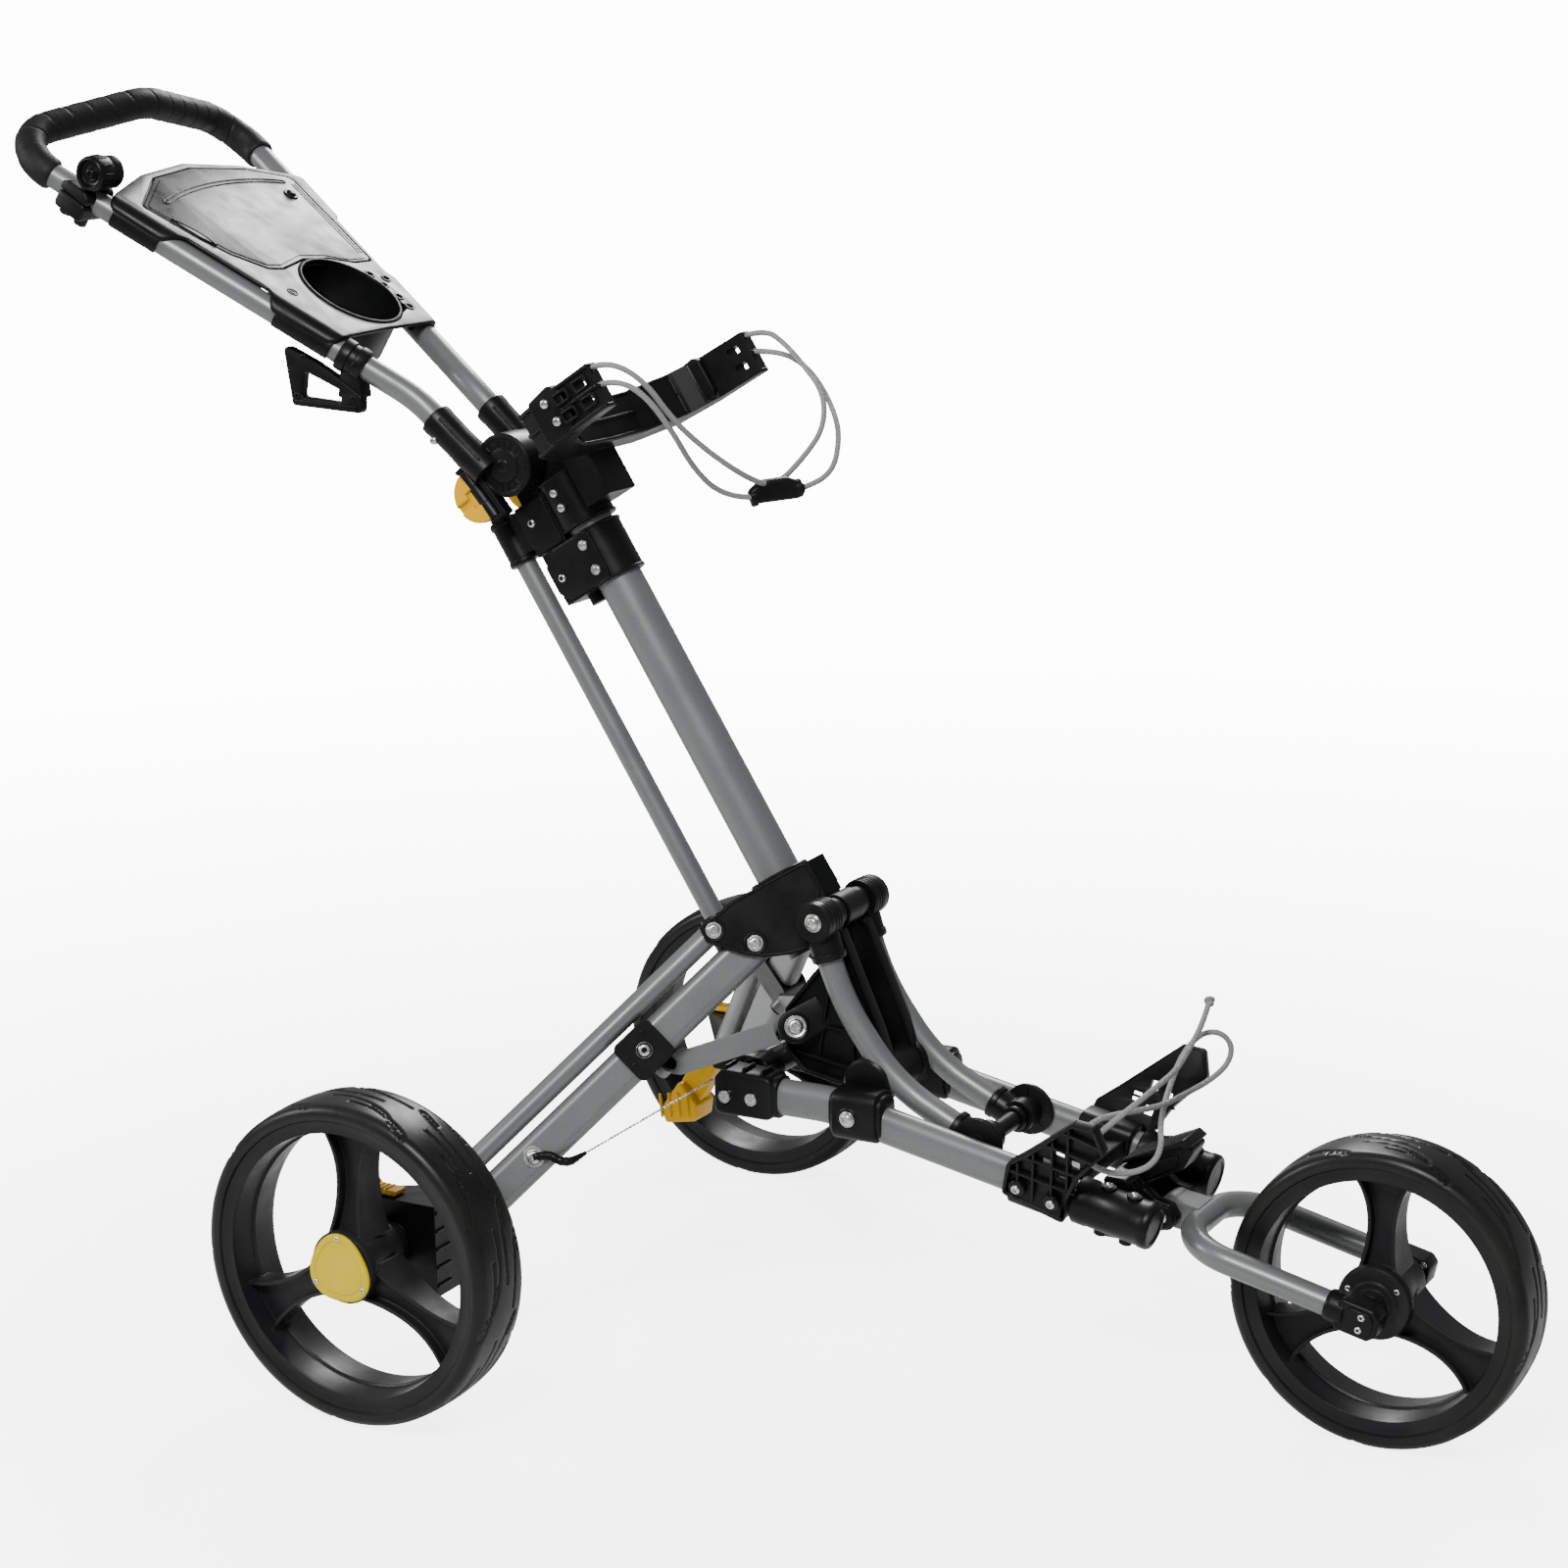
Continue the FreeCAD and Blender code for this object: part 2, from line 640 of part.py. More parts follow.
def axle_housing():
    """The block that takes the wheel's axle; its inner face lies along the leg plane."""
    block = box(WORLD, HOUSING_LOW, HOUSING_HIGH)
    half_leg = val("leg_thick") / 2
    pins = [cylinder(frame, size("pin_radius"), 2 * half_leg + 12,
                     (val("leg_length"), 0, -half_leg - 2)) for frame in (LEG, LINK)]
    heads = [cylinder(frame, 6.5, 3, (val("leg_length"), 0, -half_leg - 4.6)) for frame in (LEG, LINK)]
    bore = bar_y(WORLD, size("axle_radius"), rear_axle_x, val("rear_radius"), -299.0, AXLE_INNER_Y)
    return cut(fuse(cut(block, leg_sweep()), *pins, *heads), bore)


pair("axle_housing", axle_housing())
pair("rear_axle", bar_y(WORLD, size("axle_radius"), rear_axle_x, val("rear_radius"),
                        -val("half_track") - val("rim_width") / 2 - 4.6, AXLE_INNER_Y))


def release_lever():
    """The thumb lever that frees a rear wheel, on top of its housing."""
    top = HOUSING_HIGH[2]
    plate = box(WORLD, (-240, -294, top + 0.6), (-214, -268, top + 5.6))
    lip = box(WORLD, (-246, -294, top + 0.6), (-240, -268, top + 10.6))
    return cut(fuse(plate, lip), leg_sweep())


pair("release_lever", release_lever())

# ---------------------------------------------------------------- mast, bracket and stay rod

node("mast_tube", cut(cylinder(MAST, size("mast_radius"), size("mast_top") - size("mast_bottom"),
                               (0, 0, val("mast_bottom"))),
                      cylinder(MAST, size("mast_radius") - size("tube_wall"),
                               size("mast_top") - size("mast_bottom") + 2, (0, 0, val("mast_bottom") - 1))))

ROD_BOTTOM, ROD_TOP = -34.0, 384.0
node("stay_rod", cylinder(MAST, size("rod_radius"), ROD_TOP - ROD_BOTTOM,
                          (-val("rod_offset"), 0, ROD_BOTTOM)))

CHEEK_OUTLINE = [(-5.7, 50), (-5.7, -22.8), (-31, -24.7), (-45, -14.5), (-70.4, -3.6), (-73.2, 3.6),
                 (-69.6, 26.3), (-60.7, 48.2), (-50, 62), (-27, 84), (-12, 84), (-10, 66)]
INNER_CHEEK = [(-5.7, 50), (-5.7, 14), (-66, 14), (-66, 34), (-60.7, 48.2), (-50, 62), (-27, 84),
               (-12, 84), (-10, 66)]


def cheek(corners, low, high):
    owner = body(LEG_PLANE)
    shape = sketch_on(owner, "XY_Plane")
    shape.AttachmentOffset = Placement(Vector(0, 0, low), Rotation())
    outline(shape, corners)
    pad(owner, shape, high - low, centred=False)
    return owner


FOLD_PIVOT = MAST.inverse().multVec(Vector(val("pivot_x"), 0, val("pivot_z")))
PIVOT_P, PIVOT_M = FOLD_PIVOT.x, FOLD_PIVOT.z


KNUCKLE_Y = (-54.0, -29.5)
CURVE_Y = -37.0
CURVE_POINTS = [Vector(59, CURVE_Y, 366), Vector(74, CURVE_Y, 318), Vector(124, CURVE_Y, 250),
                Vector(196, CURVE_Y, 215)]
CURVE_TOP_WAY = (CURVE_POINTS[1] - CURVE_POINTS[0]).normalize()
CASTING_HUB_RADIUS = 13.0


def knuckle_socket(gap=0.0):
    """The sleeve round the top of a curved tube, or the space it needs."""
    return bar_between(CURVE_POINTS[0] - CURVE_TOP_WAY * (16 + gap),
                       CURVE_POINTS[0] + CURVE_TOP_WAY * (14 + gap),
                       size("curve_radius") + 3.2 + gap)


def mast_bracket():
    """The V-shaped casting at the mast's foot that holds both legs and the fold pivot."""
    gap = val("leg_thick") / 2 + 1.2
    low, high = val("leg_offset") - gap, val("leg_offset") + gap
    side = [cheek(CHEEK_OUTLINE, high, high + 4), cheek(INNER_CHEEK, low - 4, low),
            box(LEG_PLANE, (-9.7, -22.8, low - 4), (-5.7, 50, high + 4)),
            box(LEG_PLANE, (-40, -24.7, low - 4), (-5.7, -20, high + 4))]
    right = fuse(*side)
    sleeve = cylinder(MAST, size("sleeve_radius"), 70, (0, 0, -74))
    lug = bar_y(MAST, size("pivot_lug_radius"), PIVOT_P, PIVOT_M, -14, 14)
    lug_web = box(MAST, (15, -13, -70), (45, 13, -43))
    rod_socket = cylinder(MAST, size("rod_radius") + 3.5, 32, (-val("rod_offset"), 0, -40))
    rod_web = box(MAST, (-72, -7, -38), (-22, 7, -10))
    solid = fuse(sleeve, lug, lug_web, rod_socket, rod_web, right, mirrored(right))
    mast_bore = cylinder(MAST, size("mast_radius"), 90, (0, 0, val("mast_bottom")))
    rod_bore = cylinder(MAST, size("rod_radius"), 60, (-val("rod_offset"), 0, ROD_BOTTOM))
    shaft_bore = bar_y(MAST, size("pivot_shaft_radius") + size("running_fit"), PIVOT_P, PIVOT_M, -20, 20)
    bolts = []
    for pivot in (MAIN_PIVOT, LINK_PIVOT):
        bolt = cylinder(LEG_PLANE, size("pin_radius"), 60, (pivot[0], pivot[1], -5))
        bolts += [bolt, mirrored(bolt)]
    hub_room = bar_y(WORLD, CASTING_HUB_RADIUS + 1, val("pivot_x"), val("pivot_z"), -30, -14.4)
    rooms = [hub_room, knuckle_socket(0.8)]
    return cut(solid, mast_bore, rod_bore, shaft_bore, *bolts, *rooms, *[mirrored(room) for room in rooms])


node("mast_bracket", mast_bracket())


def lower_collar():
    """The collar that ties the stay rod's slide block to the mast."""
    sleeve = cylinder(MAST, size("collar_radius") - 0.6, 49, (0, 0, 289))
    block = box(MAST, (-46, -23, 289), (0, 23, 338))
    stub = cylinder(MAST, 7, 9, (-30, 0, 280))
    return cut(fuse(sleeve, block, stub), cylinder(MAST, size("mast_radius"), 80, (0, 0, 270)))


node("lower_collar", lower_collar())


def upper_collar():
    """The collar at the mast's top, with its spine plate and the handle's pivot lug."""
    sleeve = cylinder(MAST, size("collar_radius"), 49, (0, 0, 343))
    spine_plate = box(MAST, (-52, -19, 339), (-18, 19, 386))
    lug = bar_y(MAST, size("knuckle_radius") - 1, val("knuckle_p"), val("knuckle_m"), -14.5, 14.5)
    web = box(MAST, (-45, -14.5, 380), (14, 14.5, 418))
    rod_socket = cylinder(MAST, size("rod_radius") + 3.5, 40, (-val("rod_offset"), 0, 348))
    rod_web = box(MAST, (-72, -8, 350), (-40, 8, 386))
    solid = fuse(sleeve, spine_plate, lug, web, rod_socket, rod_web)
    return cut(solid,
               cylinder(MAST, size("mast_radius"), val("mast_top") - 300, (0, 0, 300)),
               cylinder(MAST, size("rod_radius"), ROD_TOP - 300, (-val("rod_offset"), 0, 300)),
               bar_y(MAST, size("pin_radius") + size("running_fit"), val("knuckle_p"),
                     val("knuckle_m"), -20, 20))


node("upper_collar", upper_collar())


def upper_bag_bracket():
    """The cradle for the top of the bag: a cross web, two flared arms and slotted end pads."""
    half = [(40, 0), (40, -60), (60, -112), (100, -129), (154, -134), (154, -120),
            (110, -112), (84, -92), (64, -48), (60, 0)]
    owner = body(MAST)
    shape = sketch_on(owner, "XY_Plane")
    shape.AttachmentOffset = Placement(Vector(0, 0, 392), Rotation())
    outline(shape, half + [(x, -y) for x, y in reversed(half[1:-1])])
    pad(owner, shape, 40, centred=False)
    neck = box(MAST, (18, -21, 352), (46, 21, 420))
    slots = [box(MAST, (p, side * 127 - 12, m), (p + 12, side * 127 + 12, m + 7))
             for side in (-1, 1) for p in (112, 134) for m in (401, 417)]
    collar_space = cylinder(MAST, size("collar_radius"), 90, (0, 0, 330))
    return cut(fuse(owner, neck), collar_space, *slots, upper_outer, upper_inner)


node("upper_bag_bracket", upper_bag_bracket())


def mast_fasteners():
    """The pivot bolts of the legs and links, the handle's pivot bolt and the collar bolts."""
    bolts = []
    reach = val("leg_offset") + val("leg_thick") / 2 + 1.2 + 4
    for pivot in (MAIN_PIVOT, LINK_PIVOT):
        start = val("leg_offset") - val("leg_thick") / 2 - 5.2
        shank = cylinder(LEG_PLANE, size("pin_radius"), reach - start, (pivot[0], pivot[1], start))
        head = cylinder(LEG_PLANE, 6.5, 3, (pivot[0], pivot[1], reach))
        bolt = fuse(shank, head)
        bolts += [bolt, mirrored(bolt)]
    bolts.append(bar_y(MAST, size("pin_radius"), val("knuckle_p"), val("knuckle_m"), -36, 36))
    for side, height, p in ((-1, 326, -1), (-1, 302, -1), (1, 326, -1), (1, 302, -1)):
        wall = val("collar_radius") - 0.6
        bolts.append(bar_y(MAST, 4.5, p, height, *sorted((side * wall, side * (wall + 2.6)))))
    return group(*bolts)


node("mast_fasteners", mast_fasteners())

# ---------------------------------------------------------------- handle

GRIP_FROM = 360.0
LOWER_SLOPE = 0.1515                          # drop of the lower handle tube per length
BEND_Y, CORNER_S, CORNER_Y, CORNER_H = 43.5, 416.0, 164.0, 1.0
APEX_S, APEX_H = 403.0, 41.0
TUBE_START = -70.0


def lower_handle_point(s):
    return handle_point(s, -(BEND_Y + 0.028 * s), LOWER_SLOPE * s)


def side_handle_point(s, h=0.0):
    """A point on the axis of the straight right-hand side tube."""
    part = s / CORNER_S
    return handle_point(s, -(BEND_Y + (CORNER_Y - BEND_Y) * part), CORNER_H * part + h)


def across(points):
    return [Vector(p.x, -p.y, p.z) for p in reversed(points)]


handle_half = [lower_handle_point(TUBE_START), handle_point(0, -BEND_Y, 0),
               handle_point(CORNER_S, -CORNER_Y, CORNER_H)]
handle_path = handle_half + [handle_point(APEX_S, 0, APEX_H)] + across(handle_half)
CORNER_RADIUS, APEX_RADIUS, BEND_RADIUS = 40, 80, 120
HANDLE_BENDS = [BEND_RADIUS, CORNER_RADIUS, APEX_RADIUS, CORNER_RADIUS, BEND_RADIUS]
node("handle_tube", round_tube(handle_path, HANDLE_BENDS,
                               size("handle_radius"), size("handle_radius") - size("tube_wall")))
grip_half = [side_handle_point(GRIP_FROM), handle_point(CORNER_S, -CORNER_Y, CORNER_H)]
grip_path = grip_half + [handle_point(APEX_S, 0, APEX_H)] + across(grip_half)
node("handle_grip", round_tube(grip_path, [CORNER_RADIUS, APEX_RADIUS, CORNER_RADIUS],
                               size("grip_radius"), size("handle_radius")))


CAM_P, CAM_M, CAM_RADIUS = -61.0, 410.0, 25.0
CAM_BARREL, CAM_HALF = 6.8, 25.0              # radius and half length of the lever's own hinge
CAM = MAST.multiply(Placement(Vector(CAM_P, -39, CAM_M), Rotation(Vector(0, 1, 0), -9)))


def handle_socket():
    """One half of the folding knuckle: a round cheek with a socket for the handle tube."""
    barrel = bar_y(MAST, size("knuckle_radius"), val("knuckle_p"), val("knuckle_m"), -40, -15.3)
    arm = bar_between(lower_handle_point(-92), lower_handle_point(-26), size("socket_radius"))
    bore = bar_between(lower_handle_point(TUBE_START), lower_handle_point(-20), size("handle_radius"))
    bolt = bar_y(MAST, size("pin_radius") + size("running_fit"),
                 val("knuckle_p"), val("knuckle_m"), -36.5, -10)
    lugs = [box(CAM, (-5, -6, low), (14, 6, high))
            for low, high in ((CAM_HALF + 0.4, CAM_HALF + 4), (-CAM_HALF - 4, -CAM_HALF - 0.4))]
    web = box(CAM, (CAM_BARREL + 2.4, -6, -CAM_HALF - 4), (14, 6, CAM_HALF + 4))
    cam_room = cylinder(CAM, CAM_BARREL + 0.6, 2 * CAM_HALF + 0.8, (0, 0, -CAM_HALF - 0.4))
    return cut(fuse(barrel, arm, web, *lugs), bore, bolt, cam_room)


right_socket = handle_socket()
node("handle_sockets", group(right_socket, mirrored(right_socket)))



def cam_lever():
    """The half-round thumb lever that locks the folding knuckle."""
    disc = bar_y(CAM, CAM_RADIUS, 0, 0, -7, 7)
    half = box(CAM, (-40, -10, -40), (0, 10, 40))
    plate = doc.addObject("Part::MultiCommon", "half_disc")
    plate.Shapes = [disc, half]
    return fuse(plate, cylinder(CAM, CAM_BARREL, 2 * CAM_HALF, (0, 0, -CAM_HALF)))


pair("cam_lever", cam_lever())

DECK_HALF = [(78, 0), (76, -79), (140, -98), (150, -87), (165, -91), (235, -111), (246, -128),
             (300, -143), (308, -128), (330, -70), (341, 0)]
LID_OUTLINE = [(285, -116), (232, -96), (205, -82), (180, -58), (177, -40), (186, 0), (182, 35),
               (172, 60), (171, 86), (303, 118), (322, 70), (331, 0), (322, -60)]
CUP_S, CUP_Y = 134.0, 10.0
TEE_HOLES = [(152, 61), (143, 75), (134.7, 62), (116, 62), (101, 60)]


def deck_plate(corners, low, high):
    """A flat plate in the handle's plane; corners are up the handle and across it."""
    owner = body(HANDLE)
    shape = sketch_on(owner, "XY_Plane")
    shape.AttachmentOffset = Placement(Vector(0, 0, low), Rotation())
    outline(shape, [(-s, y) for s, y in corners])
    pad(owner, shape, high - low, centred=False)
    return owner


def grown(corners, gap):
    """The same outline moved outward by about a gap."""
    middle_s = sum(s for s, _ in corners) / len(corners)
    middle_y = sum(y for _, y in corners) / len(corners)
    moved = []
    for s, y in corners:
        distance = math.hypot(s - middle_s, y - middle_y)
        moved.append((s + (s - middle_s) * gap / distance, y + (y - middle_y) * gap / distance))
    return moved


def console_tray():
    """The tray between the handle tubes: deck, tube skirts, a box under the lid and a cup holder."""
    top = val("deck_top")
    deck_low = top - val("deck_thick")
    outline_all = DECK_HALF + [(s, -y) for s, y in reversed(DECK_HALF[1:-1])]
    deck = deck_plate(outline_all, deck_low, top)
    skirts = []
    for s_low, s_high in ((80, 138), (250, 298)):
        skirt = bar_between(side_handle_point(s_low), side_handle_point(s_high), size("handle_radius") + 3)
        skirts += [skirt, mirrored(skirt)]
    floor = -12.0
    tray_outer = deck_plate([(187, -76), (187, 76), (300, 98), (300, -98)], floor, deck_low)
    tray_inner = deck_plate([(190, -73), (190, 73), (297, 95), (297, -95)], floor + 2.5, deck_low)
    cup_low = -val("cup_depth")
    bowl = cylinder(HANDLE, size("cup_radius") + 2.5, deck_low - cup_low, (-CUP_S, CUP_Y, cup_low))
    solid = fuse(deck, *skirts, tray_outer, bowl)
    below = box(HANDLE, (-330, -200, -60), (-60, -60, -6))
    openings = [deck_plate(grown(LID_OUTLINE, 0.8), deck_low - 1, top + 1),
                tray_inner, below, mirrored(below),
                cylinder(HANDLE, size("cup_radius"), 60, (-CUP_S, CUP_Y, cup_low + 3)),
                cylinder(HANDLE, size("cup_radius") - 19, 20, (-CUP_S, CUP_Y, cup_low - 10))]
    bare_tube = bar_between(side_handle_point(30), side_handle_point(330), size("handle_radius"))
    openings += [bare_tube, mirrored(bare_tube)]
    openings += [cylinder(HANDLE, 2.8, 30, (-s, y, 0)) for s, y in TEE_HOLES]
    return cut(solid, *openings)


node("console_tray", console_tray())
node("console_lid", deck_plate(LID_OUTLINE, val("deck_top") - 2.6, val("deck_top")))

CUP_PIVOT = (322.0, 28.0)                     # the umbrella cup's swivel, up the handle and above it
CUP_RADIUS, CUP_PIN_ROOM = 15.5, 11.0


def umbrella_clamp():
    """The clamp on the right-hand tube, with the swivel's tongue and pin."""
    low, high = side_handle_point(304), side_handle_point(340)
    block = box(HANDLE, (-344, -156, -17), (-312, -122, 17))
    tongue = bar_y(HANDLE, CUP_RADIUS - 1, -CUP_PIVOT[0], CUP_PIVOT[1], -136.5, -124)
    room = bar_y(HANDLE, CUP_RADIUS + 0.8, -CUP_PIVOT[0], CUP_PIVOT[1], -160, -136.5)
    pin = bar_y(HANDLE, size("pin_radius"), -CUP_PIVOT[0], CUP_PIVOT[1], -156, -130)
    bosses = [cylinder(HANDLE, 6, 6, (-s, -143, -23)) for s in (319, 337)]
    tube = bar_between(low + (low - high), high + (high - low), size("handle_radius"))
    return fuse(cut(fuse(block, tongue, *bosses), room, tube), pin)


node("umbrella_clamp", umbrella_clamp())
node("umbrella_cup", cut(bar_y(HANDLE, CUP_RADIUS, -CUP_PIVOT[0], CUP_PIVOT[1], -157.5, -137),
                         bar_y(HANDLE, size("pin_radius") + size("running_fit"),
                               -CUP_PIVOT[0], CUP_PIVOT[1], -160, -130),
                         bar_y(HANDLE, CUP_PIN_ROOM, -CUP_PIVOT[0], CUP_PIVOT[1], -158, -152)))


def drink_bracket():
    """The accessory frame under the right-hand tube, with its clamp ring."""
    owner = body(WORLD)
    shape = sketch_on(owner, "XZ_Plane")
    outline(shape, [(-458, 857), (-425, 843), (-404, 832), (-375, 814), (-376, 799), (-450, 803)])
    shape.AttachmentOffset = Placement(Vector(0, 0, 62), Rotation())
    pad(owner, shape, 10, centred=False)
    window = sketch_on(owner, "XZ_Plane")
    outline(window, [(-436, 836), (-394, 820), (-396, 808), (-440, 810)])
    window.AttachmentOffset = Placement(Vector(0, 0, 52), Rotation())
    pocket(owner, window, 40, reverse=True)
    ring_solid = bar_between(side_handle_point(50), side_handle_point(74), size("socket_radius") + 1)
    web = box(WORLD, (-398, -70, 814), (-378, -54, 834))
    bore = bar_between(side_handle_point(30), side_handle_point(160), size("handle_radius"))
    return cut(fuse(owner, web, ring_solid), bore)


node("drink_bracket", drink_bracket())

# ---------------------------------------------------------------- lower frame

FRAME_SLOPE = -0.2013                         # fall of the side tubes towards the front
LEVEL_Z, BEND_X = 233.0, 79.0
TUBE_REAR_X, TUBE_FRONT_X = -20.0, 366.0


def frame_point(x, y=None):
    """A point on the axis of the right-hand side tube."""
    side = -val("frame_y") if y is None else y
    return Vector(x, side, LEVEL_Z + FRAME_SLOPE * max(0.0, x - BEND_X))


def oval_tube(points, radii, shrink=0.0):
    path = spine(points, radii)
    height = val("frame_height") - 2 * shrink
    width = val("frame_width") - 2 * shrink
    return sweep(path, oval_section(points[0], (points[1] - points[0]).normalize(), height, width))


side_points = [frame_point(TUBE_REAR_X), frame_point(BEND_X), frame_point(TUBE_FRONT_X)]
side_outer = oval_tube(side_points, [150])
pair("side_tube", cut(side_outer, oval_tube(side_points, [150], val("tube_wall"))))


def rear_cross_member():
    """The two rear sockets and the round cross tube that carries the brake pedal."""
    socket = body(WORLD)
    shape = sketch_on(socket, "XZ_Plane")
    shape.AttachmentOffset = Placement(Vector(0, 0, 49.5), Rotation())
    outline(shape, [(-29, 214), (28, 214), (28, 252), (-22, 254), (-29, 246)])
    pad(socket, shape, 31, centred=False)
    round_edges(socket, (0, 1, 0), 3)
    tube = bar_y(WORLD, 10, -8, 240, -55, 55)
    left = mirrored(socket)
    return cut(fuse(socket, left, tube), side_outer, mirrored(side_outer))


node("rear_cross_member", rear_cross_member())


def brake_pedal():
    owner = body(WORLD)
    shape = sketch_on(owner, "XZ_Plane")
    shape.AttachmentOffset = Placement(Vector(0, 0, 18), Rotation())
    outline(shape, [(-8, 256), (-58, 258), (-72, 244), (-84, 226), (-103, 197), (-98, 183), (-68, 190),
                    (-62, 214), (-52, 238), (-24, 240), (-18, 226), (-8, 224)])
    pad(owner, shape, 26, centred=False)
    eye = bar_y(WORLD, 16, -8, 240, -44, -18)
    bore = bar_y(WORLD, 10 + val("running_fit"), -8, 240, -60, 0)
    return cut(fuse(owner, eye), bore)


node("brake_pedal", brake_pedal())

curved_room = round_tube(CURVE_POINTS, [200, 150], size("curve_radius"))
curved = cut(curved_room, round_tube(CURVE_POINTS, [200, 150], size("curve_radius") - size("tube_wall")))
node("curved_tubes", group(curved, mirrored(curved)))
mast_room = cylinder(MAST, size("sleeve_radius") + 1, 100, (0, 0, -100))


def hinge_knuckle():
    """The tee on the pivot shaft that holds the top of one curved tube."""
    eye = bar_y(WORLD, 17, val("pivot_x"), val("pivot_z"), *KNUCKLE_Y)
    socket = knuckle_socket()
    core = bar_between(CURVE_POINTS[0], CURVE_POINTS[0] + CURVE_TOP_WAY * 60, size("curve_radius"))
    shaft = bar_y(WORLD, size("pivot_shaft_radius"), val("pivot_x"), val("pivot_z"), -70, 0)
    return cut(fuse(eye, socket), core, shaft, mast_room)


knuckle = hinge_knuckle()
node("hinge_knuckles", group(knuckle, mirrored(knuckle)))
node("hinge_shaft", bar_y(WORLD, size("pivot_shaft_radius"), val("pivot_x"), val("pivot_z"), -54, 54))

BARREL_X, BARREL_Z = 103.0, 250.0


def lower_casting():
    """The casting on the side tubes that carries the fold pivot and the strut ears."""
    cheek_outline = [(47, 381), (57, 352), (40, 333), (13, 299), (13, 262), (30, 244), (62, 238),
                     (104, 236), (116, 262), (106, 292), (69, 376)]
    owner = body(WORLD)
    shape = sketch_on(owner, "XZ_Plane")
    shape.AttachmentOffset = Placement(Vector(0, 0, 15.5), Rotation())
    outline(shape, cheek_outline)
    pad(owner, shape, 13, centred=False)
    hub = bar_y(WORLD, CASTING_HUB_RADIUS, val("pivot_x"), val("pivot_z"), -28.5, -15.5)
    ear_frame = Placement(STRUT_EAR_END, LEG_PLANE.Rotation)
    gap = val("strut_thick") / 2 + 0.8
    ears = []
    for low, high in ((gap, gap + 4), (-gap - 4, -gap)):
        ears.append(cylinder(ear_frame, CASTING_EAR_RADIUS, high - low, (0, 0, low)))
        ears.append(box(ear_frame, (-15, -44, low), (15, 0, high)))
    pin = cylinder(ear_frame, size("pin_radius"), 2 * gap + 8, (0, 0, -gap - 4))
    head = cylinder(ear_frame, 7.5, 3, (0, 0, gap + 4))
    clamp = box(WORLD, (86, -83, 208), (128, -47, 252))
    beyond = box(WORLD, (-50, -15.4, 200), (200, 60, 420))
    half = cut(fuse(owner, hub, *ears, pin, head), beyond)
    web = box(WORLD, (30, -16, 248), (108, 16, 262))
    barrel = bar_y(WORLD, 22, BARREL_X, BARREL_Z, -50, 50)
    solid = fuse(half, mirrored(half), clamp, mirrored(clamp), web, barrel)
    shaft = bar_y(WORLD, size("pivot_shaft_radius"), val("pivot_x"), val("pivot_z"), -70, 70)
    room = [side_outer, curved_room, knuckle]
    return cut(solid, mast_room, shaft, *room, *[mirrored(tool) for tool in room])


node("lower_casting", lower_casting())

FOOT_X, FOOT_Z = 209.0, 214.0


def stay_foot():
    """The cross shaft between the side tubes that holds the curved tubes' lower ends."""
    shaft = bar_y(WORLD, 8, FOOT_X, FOOT_Z, -53, 53)
    way = (CURVE_POINTS[-1] - CURVE_POINTS[-2]).normalize()
    end = CURVE_POINTS[-1]
    socket = bar_between(end - way * 16, end + way * 10, size("curve_radius") + 2.6)
    eye = bar_y(WORLD, 14, FOOT_X, FOOT_Z, -48, -26)
    flange = bar_y(WORLD, 22, FOOT_X, FOOT_Z, -52.8, -48.8)
    core = bar_between(end - way * 60, end, size("curve_radius"))
    half = fuse(socket, eye, flange)
    solid = fuse(shaft, half, mirrored(half))
    return cut(solid, core, mirrored(core), side_outer, mirrored(side_outer))


node("stay_foot", stay_foot())


def lower_bag_bracket():
    """The cradle for the foot of the bag: two ribbed plates that flare out, and a cross web."""
    base = Vector(278, -80, 187)
    along = Vector(0.98, 0, -0.197).normalize()
    tip = Vector(342, -112, 262) - base
    up = (tip - along * tip.dot(along)).normalize()
    frame = Placement(base, Rotation(along, up, along.cross(up), "ZXY"))
    owner = body(frame)
    shape = sketch_on(owner, "XY_Plane")
    outline(shape, [(-32, -6), (-28, 28), (-12, 46), (31, 98), (50, 100),
                    (60, 78), (38, 42), (28, 14), (26, -14)])
    pad(owner, shape, 9)
    holes = sketch_on(owner, "XY_Plane")
    for x, y in ((6, 42), (18, 56), (20, 34), (32, 50)):
        outline(holes, [(x - 3.5, y - 3.5), (x + 3.5, y - 3.5), (x + 3.5, y + 3.5), (x - 3.5, y + 3.5)])
    pocket(owner, holes, 40, centred=True)
    band = box(WORLD, (252, -81, 168), (302, -47, 216))
    cross = box(WORLD, (272, -50, 186), (300, 50, 200))
    half = fuse(owner, band)
    return cut(fuse(half, mirrored(half), cross), side_outer, mirrored(side_outer), lower_cord)


node("lower_bag_bracket", lower_bag_bracket())

# ---------------------------------------------------------------- front casting and fork


